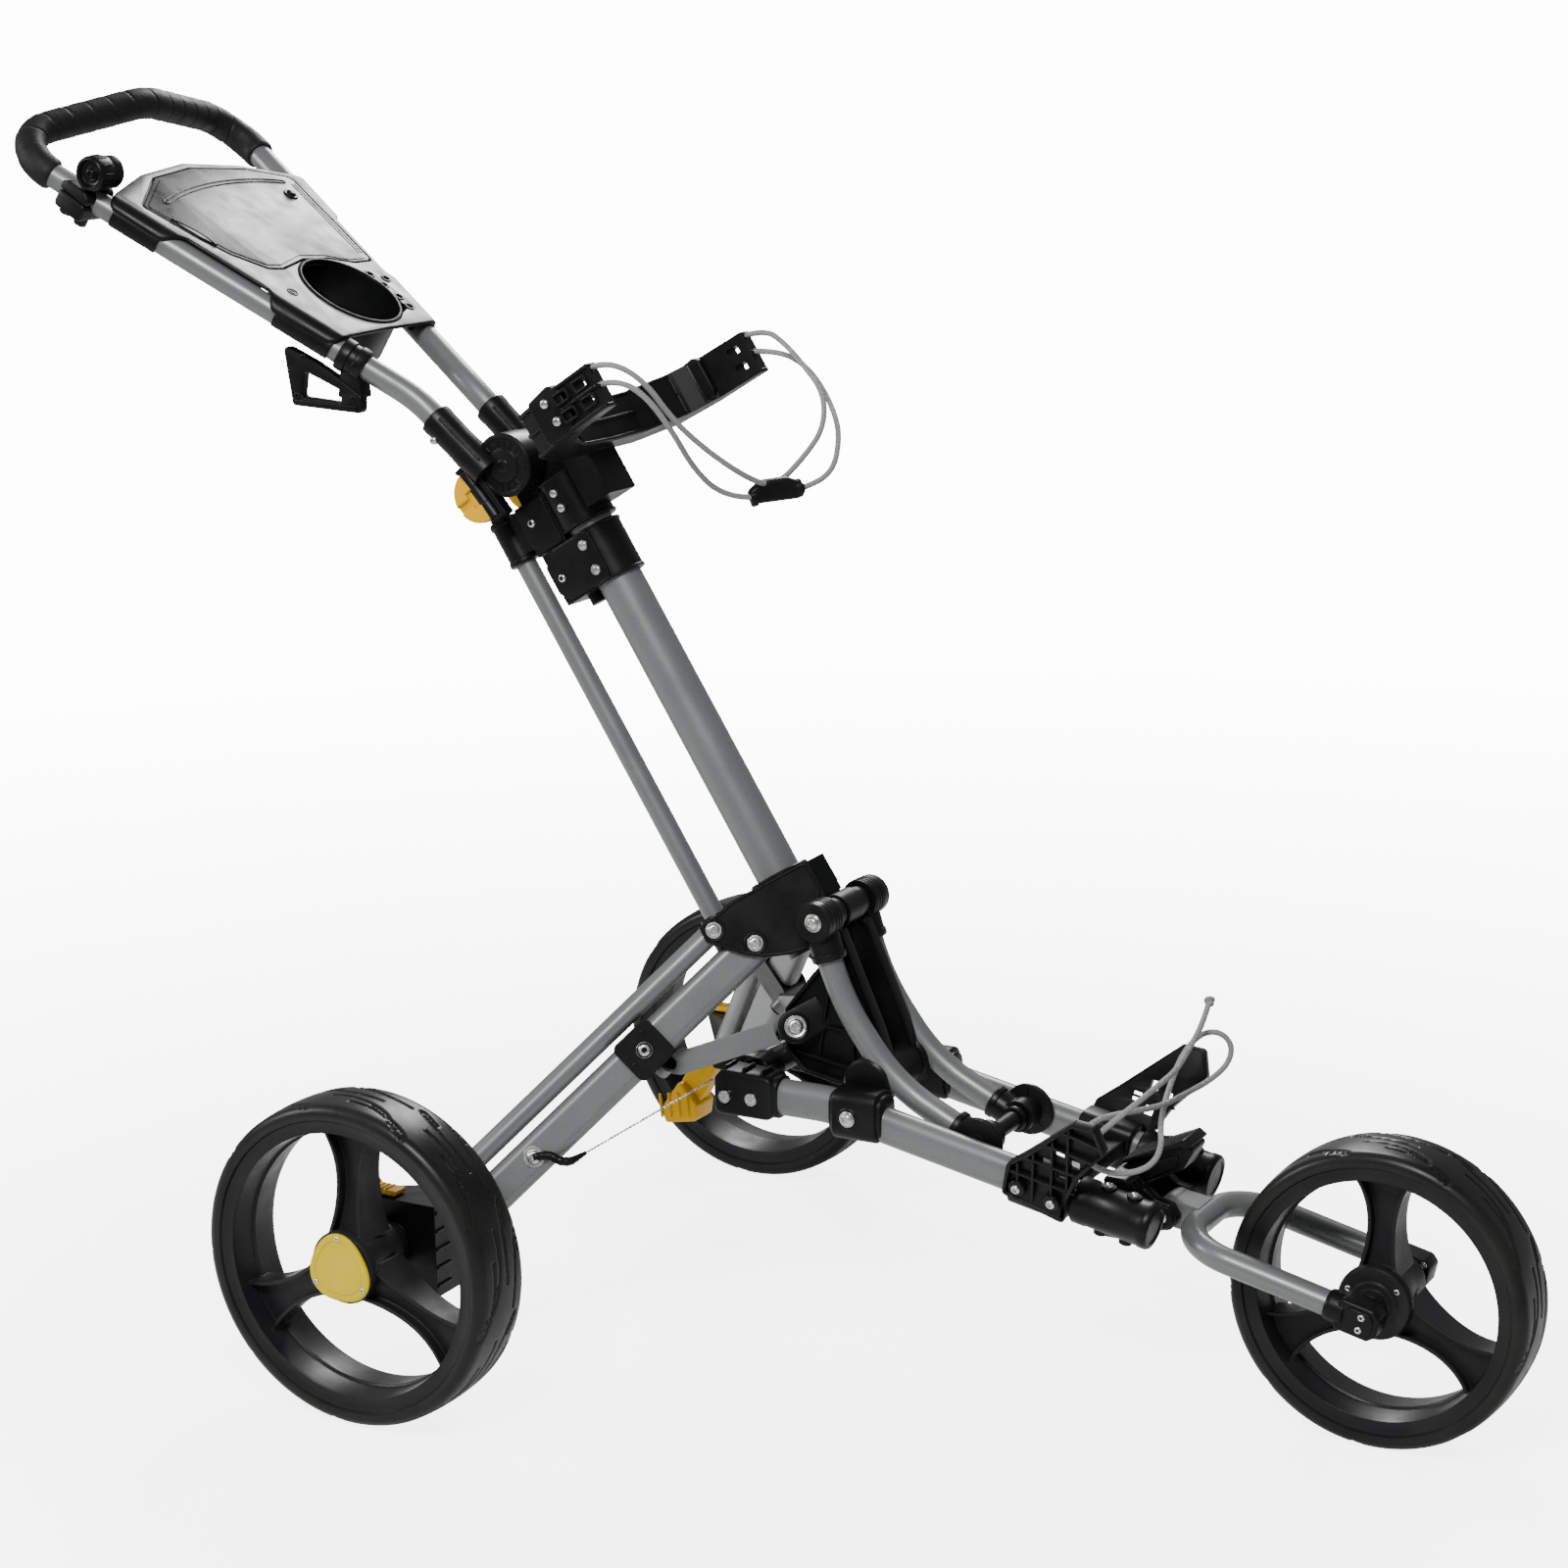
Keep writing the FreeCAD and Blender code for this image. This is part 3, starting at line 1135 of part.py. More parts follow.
def front_cross_casting():
    """The casting that caps both side tubes and holds the fork's pivot between two cheeks."""
    start, end = frame_point(308), frame_point(376)
    sleeve = bar_between(start, end, 20)
    beam = box(WORLD, (322, -50, 150), (346, 50, 204))
    pivot_x, pivot_z = val("fork_pivot_x"), val("fork_pivot_z")
    cheek_plate = box(WORLD, (340, -27, 153), (pivot_x, -15.6, 190))
    cheek_end = bar_y(WORLD, 13, pivot_x, pivot_z, -27, -15.6)
    hood = body(WORLD)
    shape = sketch_on(hood, "XZ_Plane")
    outline(shape, [(328, 196), (328, 206), (382, 232), (388, 224), (378, 206), (346, 190)])
    pad(hood, shape, 30)
    half = fuse(sleeve, cheek_plate, cheek_end)
    pin = bar_y(WORLD, size("pin_radius"), pivot_x, pivot_z, -60, 60)
    return cut(fuse(half, mirrored(half), beam, hood), side_outer, mirrored(side_outer), pin)


node("front_cross_casting", front_cross_casting())

FORK_SLOPE = -0.2344
FORK_BACK_X, FORK_TIP_X = 394.0, 544.0


def fork_point(x, y):
    return Vector(x, y, val("front_radius") + FORK_SLOPE * (x - val("front_axle_x")))


def front_fork():
    """The U-shaped fork with its square stub and pivot barrel."""
    half_width = val("fork_half_width")
    points = [fork_point(FORK_TIP_X, -half_width), fork_point(FORK_BACK_X, -half_width),
              fork_point(FORK_BACK_X, half_width), fork_point(FORK_TIP_X, half_width)]
    tube = round_tube(points, [44, 44], size("fork_radius"), size("fork_radius") - size("tube_wall"))
    pivot_x, pivot_z = val("fork_pivot_x"), val("fork_pivot_z")
    crown = fork_point(FORK_BACK_X, 0)
    lean = math.degrees(math.atan2(pivot_z - crown.z, crown.x - pivot_x))
    frame = Placement(Vector(pivot_x, 0, pivot_z), Rotation(Vector(0, 1, 0), lean))
    stub = box(frame, (0, -15, -11.5), (26, 15, 11.5))
    barrel = bar_y(WORLD, 12, pivot_x, pivot_z, -15, 15)
    bore = bar_y(WORLD, size("pin_radius") + size("running_fit"), pivot_x, pivot_z, -20, 20)
    hollow = round_tube(points, [44, 44], size("fork_radius") - size("tube_wall"))
    return cut(fuse(tube, cut(fuse(stub, barrel), hollow)), bore)


node("front_fork", front_fork())


def fork_tip():
    """The moulded end that plugs a fork arm and carries the front axle."""
    half_width = val("fork_half_width")
    lean = math.degrees(math.atan(-FORK_SLOPE))
    frame = Placement(fork_point(val("front_axle_x"), -half_width), Rotation(Vector(0, 1, 0), lean))
    owner = body(frame)
    shape = sketch_on(owner, "XZ_Plane")
    outline(shape, [(-16, -14), (14, -14), (18, -8), (18, 8), (14, 14), (-16, 14)])
    pad(owner, shape, 27)
    doc.recompute()
    arm = bar_between(fork_point(500, -half_width), fork_point(FORK_TIP_X, -half_width), size("fork_radius"))
    axle = bar_y(WORLD, size("axle_radius"), val("front_axle_x"), val("front_radius"), -80, 0)
    return cut(owner, arm, axle)


tip = fork_tip()
node("fork_tips", group(tip, mirrored(tip)))
node("front_axle", bar_y(WORLD, size("axle_radius"), val("front_axle_x"), val("front_radius"), -71, 71))


def frame_fasteners():
    """The fork pivot bolt and the clamp bolt heads on the lower frame."""
    bolts = [bar_y(WORLD, size("pin_radius"), val("fork_pivot_x"), val("fork_pivot_z"), -30, 30)]
    for x, y_in, z in ((102.6, -83, 229), (-17, -80.5, 231), (9, -80.5, 232)):
        head = bar_y(WORLD, 5.5, x, z, y_in - 2.8, y_in)
        bolts += [head, mirrored(head)]
    return group(*bolts)


node("frame_fasteners", frame_fasteners())

# ---------------------------------------------------------------- toggle and brake cables


def cord_toggle():
    """The moulded hook that holds both upper cords together in the middle."""
    along = Vector(28, 24, 6).normalize()
    frame = Placement(Vector(-4, 2, 744.5), Rotation(along, Vector(-24, 28, 0), Vector(0, 0, 1), "XZY"))
    owner = body(frame)
    shape = sketch_on(owner, "XZ_Plane")
    outline(shape, [(-24, -7), (18, -10), (24, -6), (24, 2), (10, 10), (-12, 11), (-24, 4)])
    pad(owner, shape, 13)
    round_edges(owner, (0, 1, 0), 2.5)
    return cut(owner, upper_outer, upper_inner)


node("cord_toggle", cord_toggle())

CABLE_START = Vector(-48, -48, 232)
CABLE_END = LEG.multVec(Vector(232, 27, 8))
pair("brake_cable", bar_between(CABLE_START, CABLE_END, size("cable_radius")))

# ---------------------------------------------------------------- check and write

doc.recompute()
for thing in doc.Objects:
    if {"Invalid", "Error"} & set(thing.State):
        raise RuntimeError(f"{thing.Label} failed: {thing.State}")
total = FreeCAD.BoundBox()
for label, thing in nodes.items():
    if thing.Shape.isNull() or not thing.Shape.isValid():
        raise RuntimeError(f"{label} has no valid shape")
    total.add(thing.Shape.BoundBox)
    thing.Shape.exportStep(f"parts/{label}.step")
print("nodes", len(nodes), "box", total)
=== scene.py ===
import json
import math

import bmesh
import bpy
import numpy as np
from mathutils import Matrix, Vector


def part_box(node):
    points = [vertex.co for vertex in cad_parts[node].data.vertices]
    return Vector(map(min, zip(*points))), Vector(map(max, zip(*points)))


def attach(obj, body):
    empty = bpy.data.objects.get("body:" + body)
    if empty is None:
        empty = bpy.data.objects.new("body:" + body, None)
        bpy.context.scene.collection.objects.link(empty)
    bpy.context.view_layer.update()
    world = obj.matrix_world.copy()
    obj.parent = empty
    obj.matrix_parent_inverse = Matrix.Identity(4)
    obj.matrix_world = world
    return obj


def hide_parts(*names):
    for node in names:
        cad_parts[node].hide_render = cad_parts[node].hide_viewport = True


# A three-wheeled golf push trolley. Lengths are in metres; +X is forward, +Y left, +Z up.

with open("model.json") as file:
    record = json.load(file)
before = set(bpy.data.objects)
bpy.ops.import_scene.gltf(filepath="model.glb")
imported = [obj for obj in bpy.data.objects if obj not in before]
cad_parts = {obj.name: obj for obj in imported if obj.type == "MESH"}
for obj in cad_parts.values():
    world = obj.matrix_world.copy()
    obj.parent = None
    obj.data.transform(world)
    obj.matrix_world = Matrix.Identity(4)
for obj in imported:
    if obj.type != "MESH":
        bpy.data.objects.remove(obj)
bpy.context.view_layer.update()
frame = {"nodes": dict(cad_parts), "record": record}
MM = 0.001
SIDES = (("right", -1), ("left", 1))

# ---------------------------------------------------------------- camera and cords

CAMERA_AT = Vector((1.4203, -2.5348, 1.1894))
CAMERA_TURN, CAMERA_DROP, CAMERA_ROLL = 29.258, 13.519, -0.881
CAMERA_LENS = 79.93


def add_camera():
    turn, drop, roll = (math.radians(a) for a in (CAMERA_TURN, CAMERA_DROP, CAMERA_ROLL))
    back = Vector((math.sin(turn) * math.cos(drop), -math.cos(turn) * math.cos(drop), math.sin(drop)))
    level = Vector((math.cos(turn), math.sin(turn), 0))
    upright = back.cross(level)
    right = level * math.cos(roll) + upright * math.sin(roll)
    up = upright * math.cos(roll) - level * math.sin(roll)
    data = bpy.data.cameras.new("camera")
    data.sensor_width = 36
    data.lens = CAMERA_LENS
    data.clip_end = 50
    camera = bpy.data.objects.new("camera", data)
    camera.matrix_world = Matrix((right, up, back)).transposed().to_4x4()
    camera.matrix_world.translation = CAMERA_AT
    bpy.context.scene.collection.objects.link(camera)
    bpy.context.scene.camera = camera


add_camera()

CORD_WIDTH = 5.0
UPPER_OUTER_ROUTE = [
    (-102.5, -127, 858.1), (-85, -129, 864), (-60, -117, 849), (-47, -93, 813), (-31, -62, 783),
    (-14, -26, 757), (-6, 4, 747), (4, 36, 768), (9, 64, 790), (-6, 92, 816), (-32, 106, 836),
    (-58, 117, 854), (-82, 127, 864), (-102.5, 127, 858.1),
]
UPPER_INNER_ROUTE = [
    (-94.1, -127, 844.5), (-77, -128, 849), (-57, -118, 836), (-44, -98, 804), (-43, -70, 772),
    (-36, -40, 746), (-16, -10, 738), (12, 14, 744), (29, 42, 755), (21, 70, 783), (2, 94, 802),
    (-21, 112, 822), (-46, 126, 837), (-73, 132, 845), (-94.1, 127, 844.5),
]
LOWER_ROUTE = [
    (321, -98, 254), (329, -84, 263), (339, -60, 263), (349, -30, 259), (355, 5, 254), (359, 40, 254),
    (367, 68, 257), (378, 84, 269), (380, 88, 285), (370, 84, 297), (355, 77, 295), (344, 66, 279),
    (342, 46, 259), (350, 12, 249), (363, -26, 245), (374, -48, 237), (371, -60, 224), (354, -71, 217),
    (335, -86, 222), (328, -98, 237), (335, -96, 253), (350, -84, 268), (362, -62, 280), (366, -34, 285),
    (364, 4, 285), (360, 40, 292), (362, 66, 308), (360, 84, 322),
]


def smooth_curve(name, route, radius):
    """A round curve through its control points' smooth spline, with its ends on the end points."""
    data = bpy.data.curves.new(name, "CURVE")
    data.dimensions = "3D"
    data.bevel_depth = 1.0
    data.bevel_resolution = 6
    data.resolution_u = 10
    data.use_fill_caps = True
    spline = data.splines.new("NURBS")
    spline.points.add(len(route) - 1)
    for point, place in zip(spline.points, route):
        point.co = (*[c * MM for c in place], 1)
        point.radius = radius
    spline.order_u = 3
    spline.use_endpoint_u = True
    piece = bpy.data.objects.new(name, data)
    bpy.context.scene.collection.objects.link(piece)
    return piece


def spline_length(piece):
    """The length of a curve's own line, measured on a copy with no thickness."""
    copy = piece.data.copy()
    copy.bevel_depth = 0
    carrier = bpy.data.objects.new("measuring", copy)
    mesh = bpy.data.meshes.new_from_object(carrier)
    points = [v.co.copy() for v in mesh.vertices]
    bpy.data.objects.remove(carrier)
    bpy.data.meshes.remove(mesh)
    return sum((b - a).length for a, b in zip(points, points[1:]))


def end_knot(name, at, toward, radius):
    """A small overhand stop knot: a thick ring of cord pulled tight against the line."""
    along = toward.normalized()
    side = along.orthogonal().normalized()
    other = along.cross(side)
    points = []
    for step in range(9):
        angle = step * 2.6 * math.pi / 8
        points.append(at + (side * math.cos(angle) + other * math.sin(angle)) * radius * 1.15
                      + along * radius * (step - 4) * 0.28)
    return smooth_curve(name, [tuple(p / MM for p in point) for point in points], radius * 0.85)


cord_pieces = {}
for name, route, body in (("upper_cord_outer", UPPER_OUTER_ROUTE, "mast"),
                          ("upper_cord_inner", UPPER_INNER_ROUTE, "mast"),
                          ("lower_cord", LOWER_ROUTE, "frame")):
    piece = smooth_curve("strap_" + name, route, CORD_WIDTH / 2 * MM)
    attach(piece, body)
    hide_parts(name)
    cord_pieces[name] = piece
tail = Vector(LOWER_ROUTE[-1]) - Vector(LOWER_ROUTE[-2])
knot = end_knot("lower_cord_knot", Vector(LOWER_ROUTE[-1]) * MM, tail, CORD_WIDTH / 2 * MM)
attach(knot, "frame")
for name in ("upper_cord_outer", "upper_cord_inner"):
    route = UPPER_OUTER_ROUTE if name.endswith("outer") else UPPER_INNER_ROUTE
    spline_length(cord_pieces[name])
spline_length(cord_pieces["lower_cord"])

# ---------------------------------------------------------------- materials


class Finish:
    """A procedural material: a Principled surface with nodes for grain, wear and relief."""

    def __init__(self, name, rough, metal=0.0, coat=0.0, specular=0.5):
        self.material = bpy.data.materials.new(name)
        self.material.use_nodes = True
        self.tree = self.material.node_tree
        self.shader = self.tree.nodes["Principled BSDF"]
        self.shader.inputs["Roughness"].default_value = rough
        self.shader.inputs["Metallic"].default_value = metal
        self.shader.inputs["Coat Weight"].default_value = coat
        self.shader.inputs["Specular IOR Level"].default_value = specular
        self.place = self.tree.nodes.new("ShaderNodeTexCoord").outputs["Object"]
        self.relief = None

    def node(self, kind, **inputs):
        made = self.tree.nodes.new(kind)
        for key, value in inputs.items():
            made.inputs[key].default_value = value
        return made

    def link(self, source, target):
        self.tree.links.new(source, target)

    def noise(self, scale, detail=3.0, stretch=None):
        made = self.node("ShaderNodeTexNoise", Scale=scale, Detail=detail, Roughness=0.55)
        if stretch is None:
            self.link(self.place, made.inputs["Vector"])
        else:
            mapping = self.node("ShaderNodeMapping", Scale=stretch)
            self.link(self.place, mapping.inputs["Vector"])
            self.link(mapping.outputs["Vector"], made.inputs["Vector"])
        return made.outputs["Fac"]

    def range(self, source, low, high):
        """The middle of a noise's run, spread from low to high."""
        made = self.node("ShaderNodeMapRange",
                         **{"From Min": 0.3, "From Max": 0.7, "To Min": low, "To Max": high})
        self.link(source, made.inputs["Value"])
        return made.outputs["Result"]

    def colours(self, source, dark, light, start=0.35, end=0.65):
        ramp = self.node("ShaderNodeValToRGB")
        ramp.color_ramp.elements[0].position = start
        ramp.color_ramp.elements[0].color = (*dark, 1)
        ramp.color_ramp.elements[1].position = end
        ramp.color_ramp.elements[1].color = (*light, 1)
        self.link(source, ramp.inputs["Fac"])
        return ramp.outputs["Color"]

    def base(self, colour):
        self.link(colour, self.shader.inputs["Base Color"])

    def roughness(self, source):
        self.link(source, self.shader.inputs["Roughness"])

    def bump(self, height, strength, distance):
        made = self.node("ShaderNodeBump", Strength=strength, Distance=distance)
        self.link(height, made.inputs["Height"])
        if self.relief is not None:
            self.link(self.relief, made.inputs["Normal"])
        self.relief = made.outputs["Normal"]
        self.link(self.relief, self.shader.inputs["Normal"])
        return self

    def soft_edges(self, radius):
        """Rounds the look of sharp edges by a small radius."""
        made = self.node("ShaderNodeBevel", Radius=radius)
        made.samples = 4
        self.relief = made.outputs["Normal"]
        self.link(self.relief, self.shader.inputs["Normal"])
        return self


def moulded(name, dark, light, rough, grain=900.0, strength=0.12):
    """Injection-moulded plastic with a fine spark-eroded grain and slightly uneven gloss."""
    made = Finish(name, rough, specular=0.16)
    made.soft_edges(0.0012)
    cloud = made.noise(14.0, 4.0)
    made.base(made.colours(cloud, dark, light))
    made.roughness(made.range(made.noise(45.0, 5.0), rough - 0.07, rough + 0.1))
    made.bump(made.noise(grain, 2.0), strength, 0.0002)
    made.bump(made.noise(60.0, 2.0), 0.05, 0.001)
    return made.material


def painted(name, dark, light):
    """Satin metallic paint: fine flake, faint orange peel and a few duller patches."""
    made = Finish(name, 0.38, metal=0.25, coat=0.15)
    made.soft_edges(0.0008)
    flake = made.noise(2600.0, 1.0)
    made.base(made.colours(flake, dark, light, 0.3, 0.7))
    made.roughness(made.range(made.noise(22.0, 4.0), 0.3, 0.46))
    made.bump(made.noise(420.0, 2.0), 0.06, 0.0002)
    made.bump(made.noise(9.0, 2.0), 0.04, 0.001)
    return made.material


def foam(name):
    """Smooth closed-cell tyre foam with tiny pits and scuffed patches."""
    made = Finish(name, 0.36, specular=0.18)
    made.base(made.colours(made.noise(18.0, 6.0), (0.006, 0.006, 0.006), (0.013, 0.013, 0.012)))
    made.roughness(made.range(made.noise(30.0, 5.0), 0.27, 0.42))
    pits = made.node("ShaderNodeTexVoronoi", Scale=1500.0)
    made.link(made.place, pits.inputs["Vector"])
    made.bump(pits.outputs["Distance"], 0.08, 0.0003)
    made.bump(made.noise(120.0, 3.0), 0.07, 0.0006)
    return made.material


def wrapped_grip(name):
    """Leather-like wrapped foam: a pebbled grain with darker hollows."""
    made = Finish(name, 0.55, specular=0.2)
    pebble = made.node("ShaderNodeTexVoronoi", Scale=700.0)
    made.link(made.place, pebble.inputs["Vector"])
    hollows = pebble.outputs["Distance"]
    made.base(made.colours(hollows, (0.010, 0.010, 0.0095), (0.004, 0.004, 0.004), 0.2, 0.8))
    made.roughness(made.range(made.noise(60.0, 4.0), 0.46, 0.66))
    made.bump(hollows, 0.25, 0.0004)
    made.bump(made.noise(90.0, 3.0), 0.15, 0.0008)
    return made.material


def plated(name):
    """Bright zinc plate: turned marks, small dull spots and a faint warm tint."""
    made = Finish(name, 0.24, metal=1.0)
    made.soft_edges(0.0004)
    made.base(made.colours(made.noise(120.0, 4.0), (0.52, 0.52, 0.50), (0.74, 0.74, 0.72)))
    made.roughness(made.range(made.noise(260.0, 4.0, stretch=(1, 6, 1)), 0.16, 0.38))
    made.bump(made.noise(900.0, 2.0, stretch=(1, 8, 1)), 0.12, 0.0001)
    return made.material


def braided(name):
    """Grey braided elastic: crossing diagonal yarns with flecks of light and dark."""
    made = Finish(name, 0.75)
    waves = []
    for turn in (0.8, -0.8):
        mapping = made.node("ShaderNodeMapping", Rotation=(turn, turn, turn))
        made.link(made.place, mapping.inputs["Vector"])
        wave = made.node("ShaderNodeTexWave", Scale=260.0, Distortion=1.5)
        made.link(mapping.outputs["Vector"], wave.inputs["Vector"])
        waves.append(wave.outputs["Fac"])
    weave = made.node("ShaderNodeMath")
    weave.operation = "MAXIMUM"
    made.link(waves[0], weave.inputs[0])
    made.link(waves[1], weave.inputs[1])
    made.base(made.colours(weave.outputs["Value"], (0.10, 0.105, 0.10), (0.26, 0.265, 0.26), 0.3, 0.8))
    made.bump(weave.outputs["Value"], 0.5, 0.0005)
    return made.material


def bright_yellow(name, dark, light):
    """Dyed plastic, a little uneven in depth, with a fine grain and a soft gloss."""
    made = Finish(name, 0.36, specular=0.2)
    made.soft_edges(0.0012)
    made.base(made.colours(made.noise(16.0, 4.0), dark, light))
    made.roughness(made.range(made.noise(50.0, 4.0), 0.26, 0.44))
    made.bump(made.noise(800.0, 2.0), 0.1, 0.0002)
    return made.material


FINISHES = {
    "grey_paint": painted("grey_paint", (0.105, 0.108, 0.110), (0.165, 0.170, 0.172)),
    "black_plastic": moulded("black_plastic", (0.003, 0.003, 0.0033), (0.006, 0.006, 0.0064), 0.34),
    "lid_gloss": moulded("lid_gloss", (0.003, 0.003, 0.0033), (0.007, 0.007, 0.0074), 0.3, 1400.0, 0.12),
    "rim_plastic": moulded("rim_plastic", (0.008, 0.008, 0.009), (0.013, 0.013, 0.014), 0.36, 700.0, 0.06),
    "tyre_foam": foam("tyre_foam"),
    "grip_wrap": wrapped_grip("grip_wrap"),
    "yellow_plastic": bright_yellow("yellow_plastic", (0.60, 0.31, 0.002), (0.70, 0.38, 0.004)),
    "lemon_plastic": bright_yellow("lemon_plastic", (0.52, 0.38, 0.002), (0.60, 0.45, 0.004)),
    "zinc_steel": plated("zinc_steel"),
    "cord_grey": braided("cord_grey"),
}
SLOT_OF = {part["node"]: part["material_slot"] for part in frame["record"]["subparts"]}


def dress(piece, slot):
    piece.data.materials.clear()
    piece.data.materials.append(FINISHES[slot])


for label, thing in frame["nodes"].items():
    dress(thing, SLOT_OF[label])
for piece in (*cord_pieces.values(), knot):
    dress(piece, "cord_grey")

# ---------------------------------------------------------------- making pieces

SHARP_FROM = math.radians(38)


def new_piece(name, vertices, faces, body, slot="black_plastic", replaces=()):
    """A smooth-shaded mesh that rides on a body, with its finish and the nodes it stands for."""
    mesh = bpy.data.meshes.new(name)
    mesh.from_pydata([tuple(v) for v in vertices], [], faces)
    mesh.validate()
    tidy = bmesh.new()
    tidy.from_mesh(mesh)
    bmesh.ops.remove_doubles(tidy, verts=tidy.verts, dist=1e-6)
    bmesh.ops.recalc_face_normals(tidy, faces=tidy.faces)
    tidy.to_mesh(mesh)
    tidy.free()
    for polygon in mesh.polygons:
        polygon.use_smooth = True
    piece = bpy.data.objects.new(name, mesh)
    bpy.context.scene.collection.objects.link(piece)
    mesh.set_sharp_from_angle(angle=SHARP_FROM)
    dress(piece, slot)
    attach(piece, body)
    if replaces:
        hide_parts(*replaces)
    return piece


def grid_faces(rows, columns, closed_rows=True):
    faces = []
    for i in range(rows if closed_rows else rows - 1):
        for j in range(columns):
            a, b = i * columns + j, i * columns + (j + 1) % columns
            c, d = ((i + 1) % rows) * columns + (j + 1) % columns, ((i + 1) % rows) * columns + j
            faces.append((a, b, c, d))
    return faces


def frame_from(origin, z_axis, x_hint=None):
    """A placement whose Z runs along a direction."""
    z = Vector(z_axis).normalized()
    hint = Vector(x_hint) if x_hint is not None else z.orthogonal()
    x = (hint - z * hint.dot(z)).normalized()
    made = Matrix((x, z.cross(x), z)).transposed().to_4x4()
    made.translation = Vector(origin)
    return made


def ring_point(radius, angle, height):
    return Vector((radius * math.cos(angle), radius * math.sin(angle), height))


def rings(place, rows, steps):
    """The points of circles about a placement's Z; a row is (radius, height) in millimetres."""
    angles = [2 * math.pi * k / steps for k in range(steps)]
    return [place @ (ring_point(r, a, h) * MM) for r, h in rows for a in angles]


def capped_faces(rows, steps):
    """The faces of a tube of rings, closed at both ends."""
    ends = [tuple(range(steps)), tuple(range((rows - 1) * steps, rows * steps))]
    return grid_faces(rows, steps, closed_rows=False) + ends


def turned(place, profile, steps):
    """Vertices and faces of a profile turned about a placement's Z, closed at both ends."""
    return rings(place, profile, steps), capped_faces(len(profile), steps)


def joined(*parts):
    vertices, faces = [], []
    for more_vertices, more_faces in parts:
        shift = len(vertices)
        vertices += list(more_vertices)
        faces += [tuple(shift + index for index in face) for face in more_faces]
    return vertices, faces


# ---------------------------------------------------------------- wheels

TREAD_STEPS = 720
TREAD_REPEATS = 9
SWOOSH = [(0, 0), (14, 0.8), (28, 2.4), (42, 5), (54, 8.5), (64, 13), (69, 17), (66, 18.5), (58, 15.5),
          (48, 12)]
SWOOSH_DEPTH, SWOOSH_WIDTH = 1.7, 1.15


def swoosh_relief(arc, across, circumference):
    """How deep the curled grooves cut at each point of the tread, in millimetres."""
    pitch = circumference / TREAD_REPEATS
    curve = np.array(SWOOSH, float)
    dense = np.array([curve[i] + (curve[i + 1] - curve[i]) * t
                      for i in range(len(curve) - 1) for t in np.linspace(0, 1, 7)])
    dense[:, 0] *= pitch / 98
    depth = np.zeros_like(arc)
    for shift, start, way in ((0.0, 3.0, 1), (0.5, -3.0, -1), (0.25, 13.0, 1), (0.75, -13.0, -1)):
        along = (arc / pitch + shift) % 1.0 * pitch
        if way < 0:
            along = pitch - along
        for x, y in dense:
            gap = np.hypot(along - x, across - (start + way * y * 0.82))
            depth = np.maximum(depth, np.exp(-(gap / SWOOSH_WIDTH) ** 2))
    return depth * SWOOSH_DEPTH


def tyre_profile(radius, seat, half):
    """The tyre's section from one bead over the tread to the other: (radius, across) in millimetres."""
    shoulder, crown = 9.0, 1.2
    reach = radius - shoulder - crown
    bends = [math.radians(step * 15) for step in range(7)]
    points = [(seat + 0.4, -half + 7), (seat + 0.4, -half + 3), (seat + 1.5, -half + 1)]
    points += [(reach + shoulder * math.sin(a), -half + shoulder - shoulder * math.cos(a)) for a in bends]
    flat = half - shoulder
    rows = 34
    for step in range(1, rows):
        across = -flat + 2 * flat * step / rows
        points.append((radius - crown * (across / flat) ** 2, across))
    points += [(reach + shoulder * math.sin(a), half - shoulder + shoulder * math.cos(a))
               for a in bends[::-1]]
    points += [(seat + 1.5, half - 1), (seat + 0.4, half - 3), (seat + 0.4, half - 7)]
    return points


def tyre(name, centre, radius, body, node):
    profile = np.array(tyre_profile(radius, radius - 15, 32), float)
    angles = np.linspace(0, 2 * math.pi, TREAD_STEPS, endpoint=False)
    arc = np.repeat(angles * radius, len(profile))
    across = np.tile(profile[:, 1], TREAD_STEPS)
    depth = swoosh_relief(arc, across, 2 * math.pi * radius).reshape(TREAD_STEPS, -1)
    depth[:, profile[:, 0] < radius - 9] = 0
    reach = profile[None, :, 0] - depth
    vertices = np.stack([centre.x / MM + reach * np.cos(angles)[:, None],
                         centre.y / MM + np.tile(profile[:, 1], (TREAD_STEPS, 1)),
                         centre.z / MM + reach * np.sin(angles)[:, None]], axis=-1).reshape(-1, 3) * MM
    new_piece(name, vertices, grid_faces(TREAD_STEPS, len(profile)), body, "tyre_foam", replaces=(node,))


SPOKES = 3
SPOKE_STEPS = 14
BARREL_STEPS = 128


def spoke_half_width(part):
    """Half the width of a spoke: wide at the hub, waisted, then flaring into the barrel."""
    return 10.5 + 7 * (1 - part) ** 4 + 15 * part ** 4


def spoke_sections(part, front, back):
    """The sections of a spoke's two walls and web, part of the way out: (across, depth) in millimetres."""
    wide = spoke_half_width(part)
    face = front - 5.5 * math.sin(math.pi * part) - 9 * part
    rear = back + 8 * part
    wall = [(wide, face), (wide - 3.2, face), (wide - 3.2, rear), (wide, rear)]
    web, floor = wide - 1.5, face - 9
    return [(-a, d) for a, d in wall], wall, [(-web, floor), (web, floor), (web, floor - 3),
                                              (-web, floor - 3)]


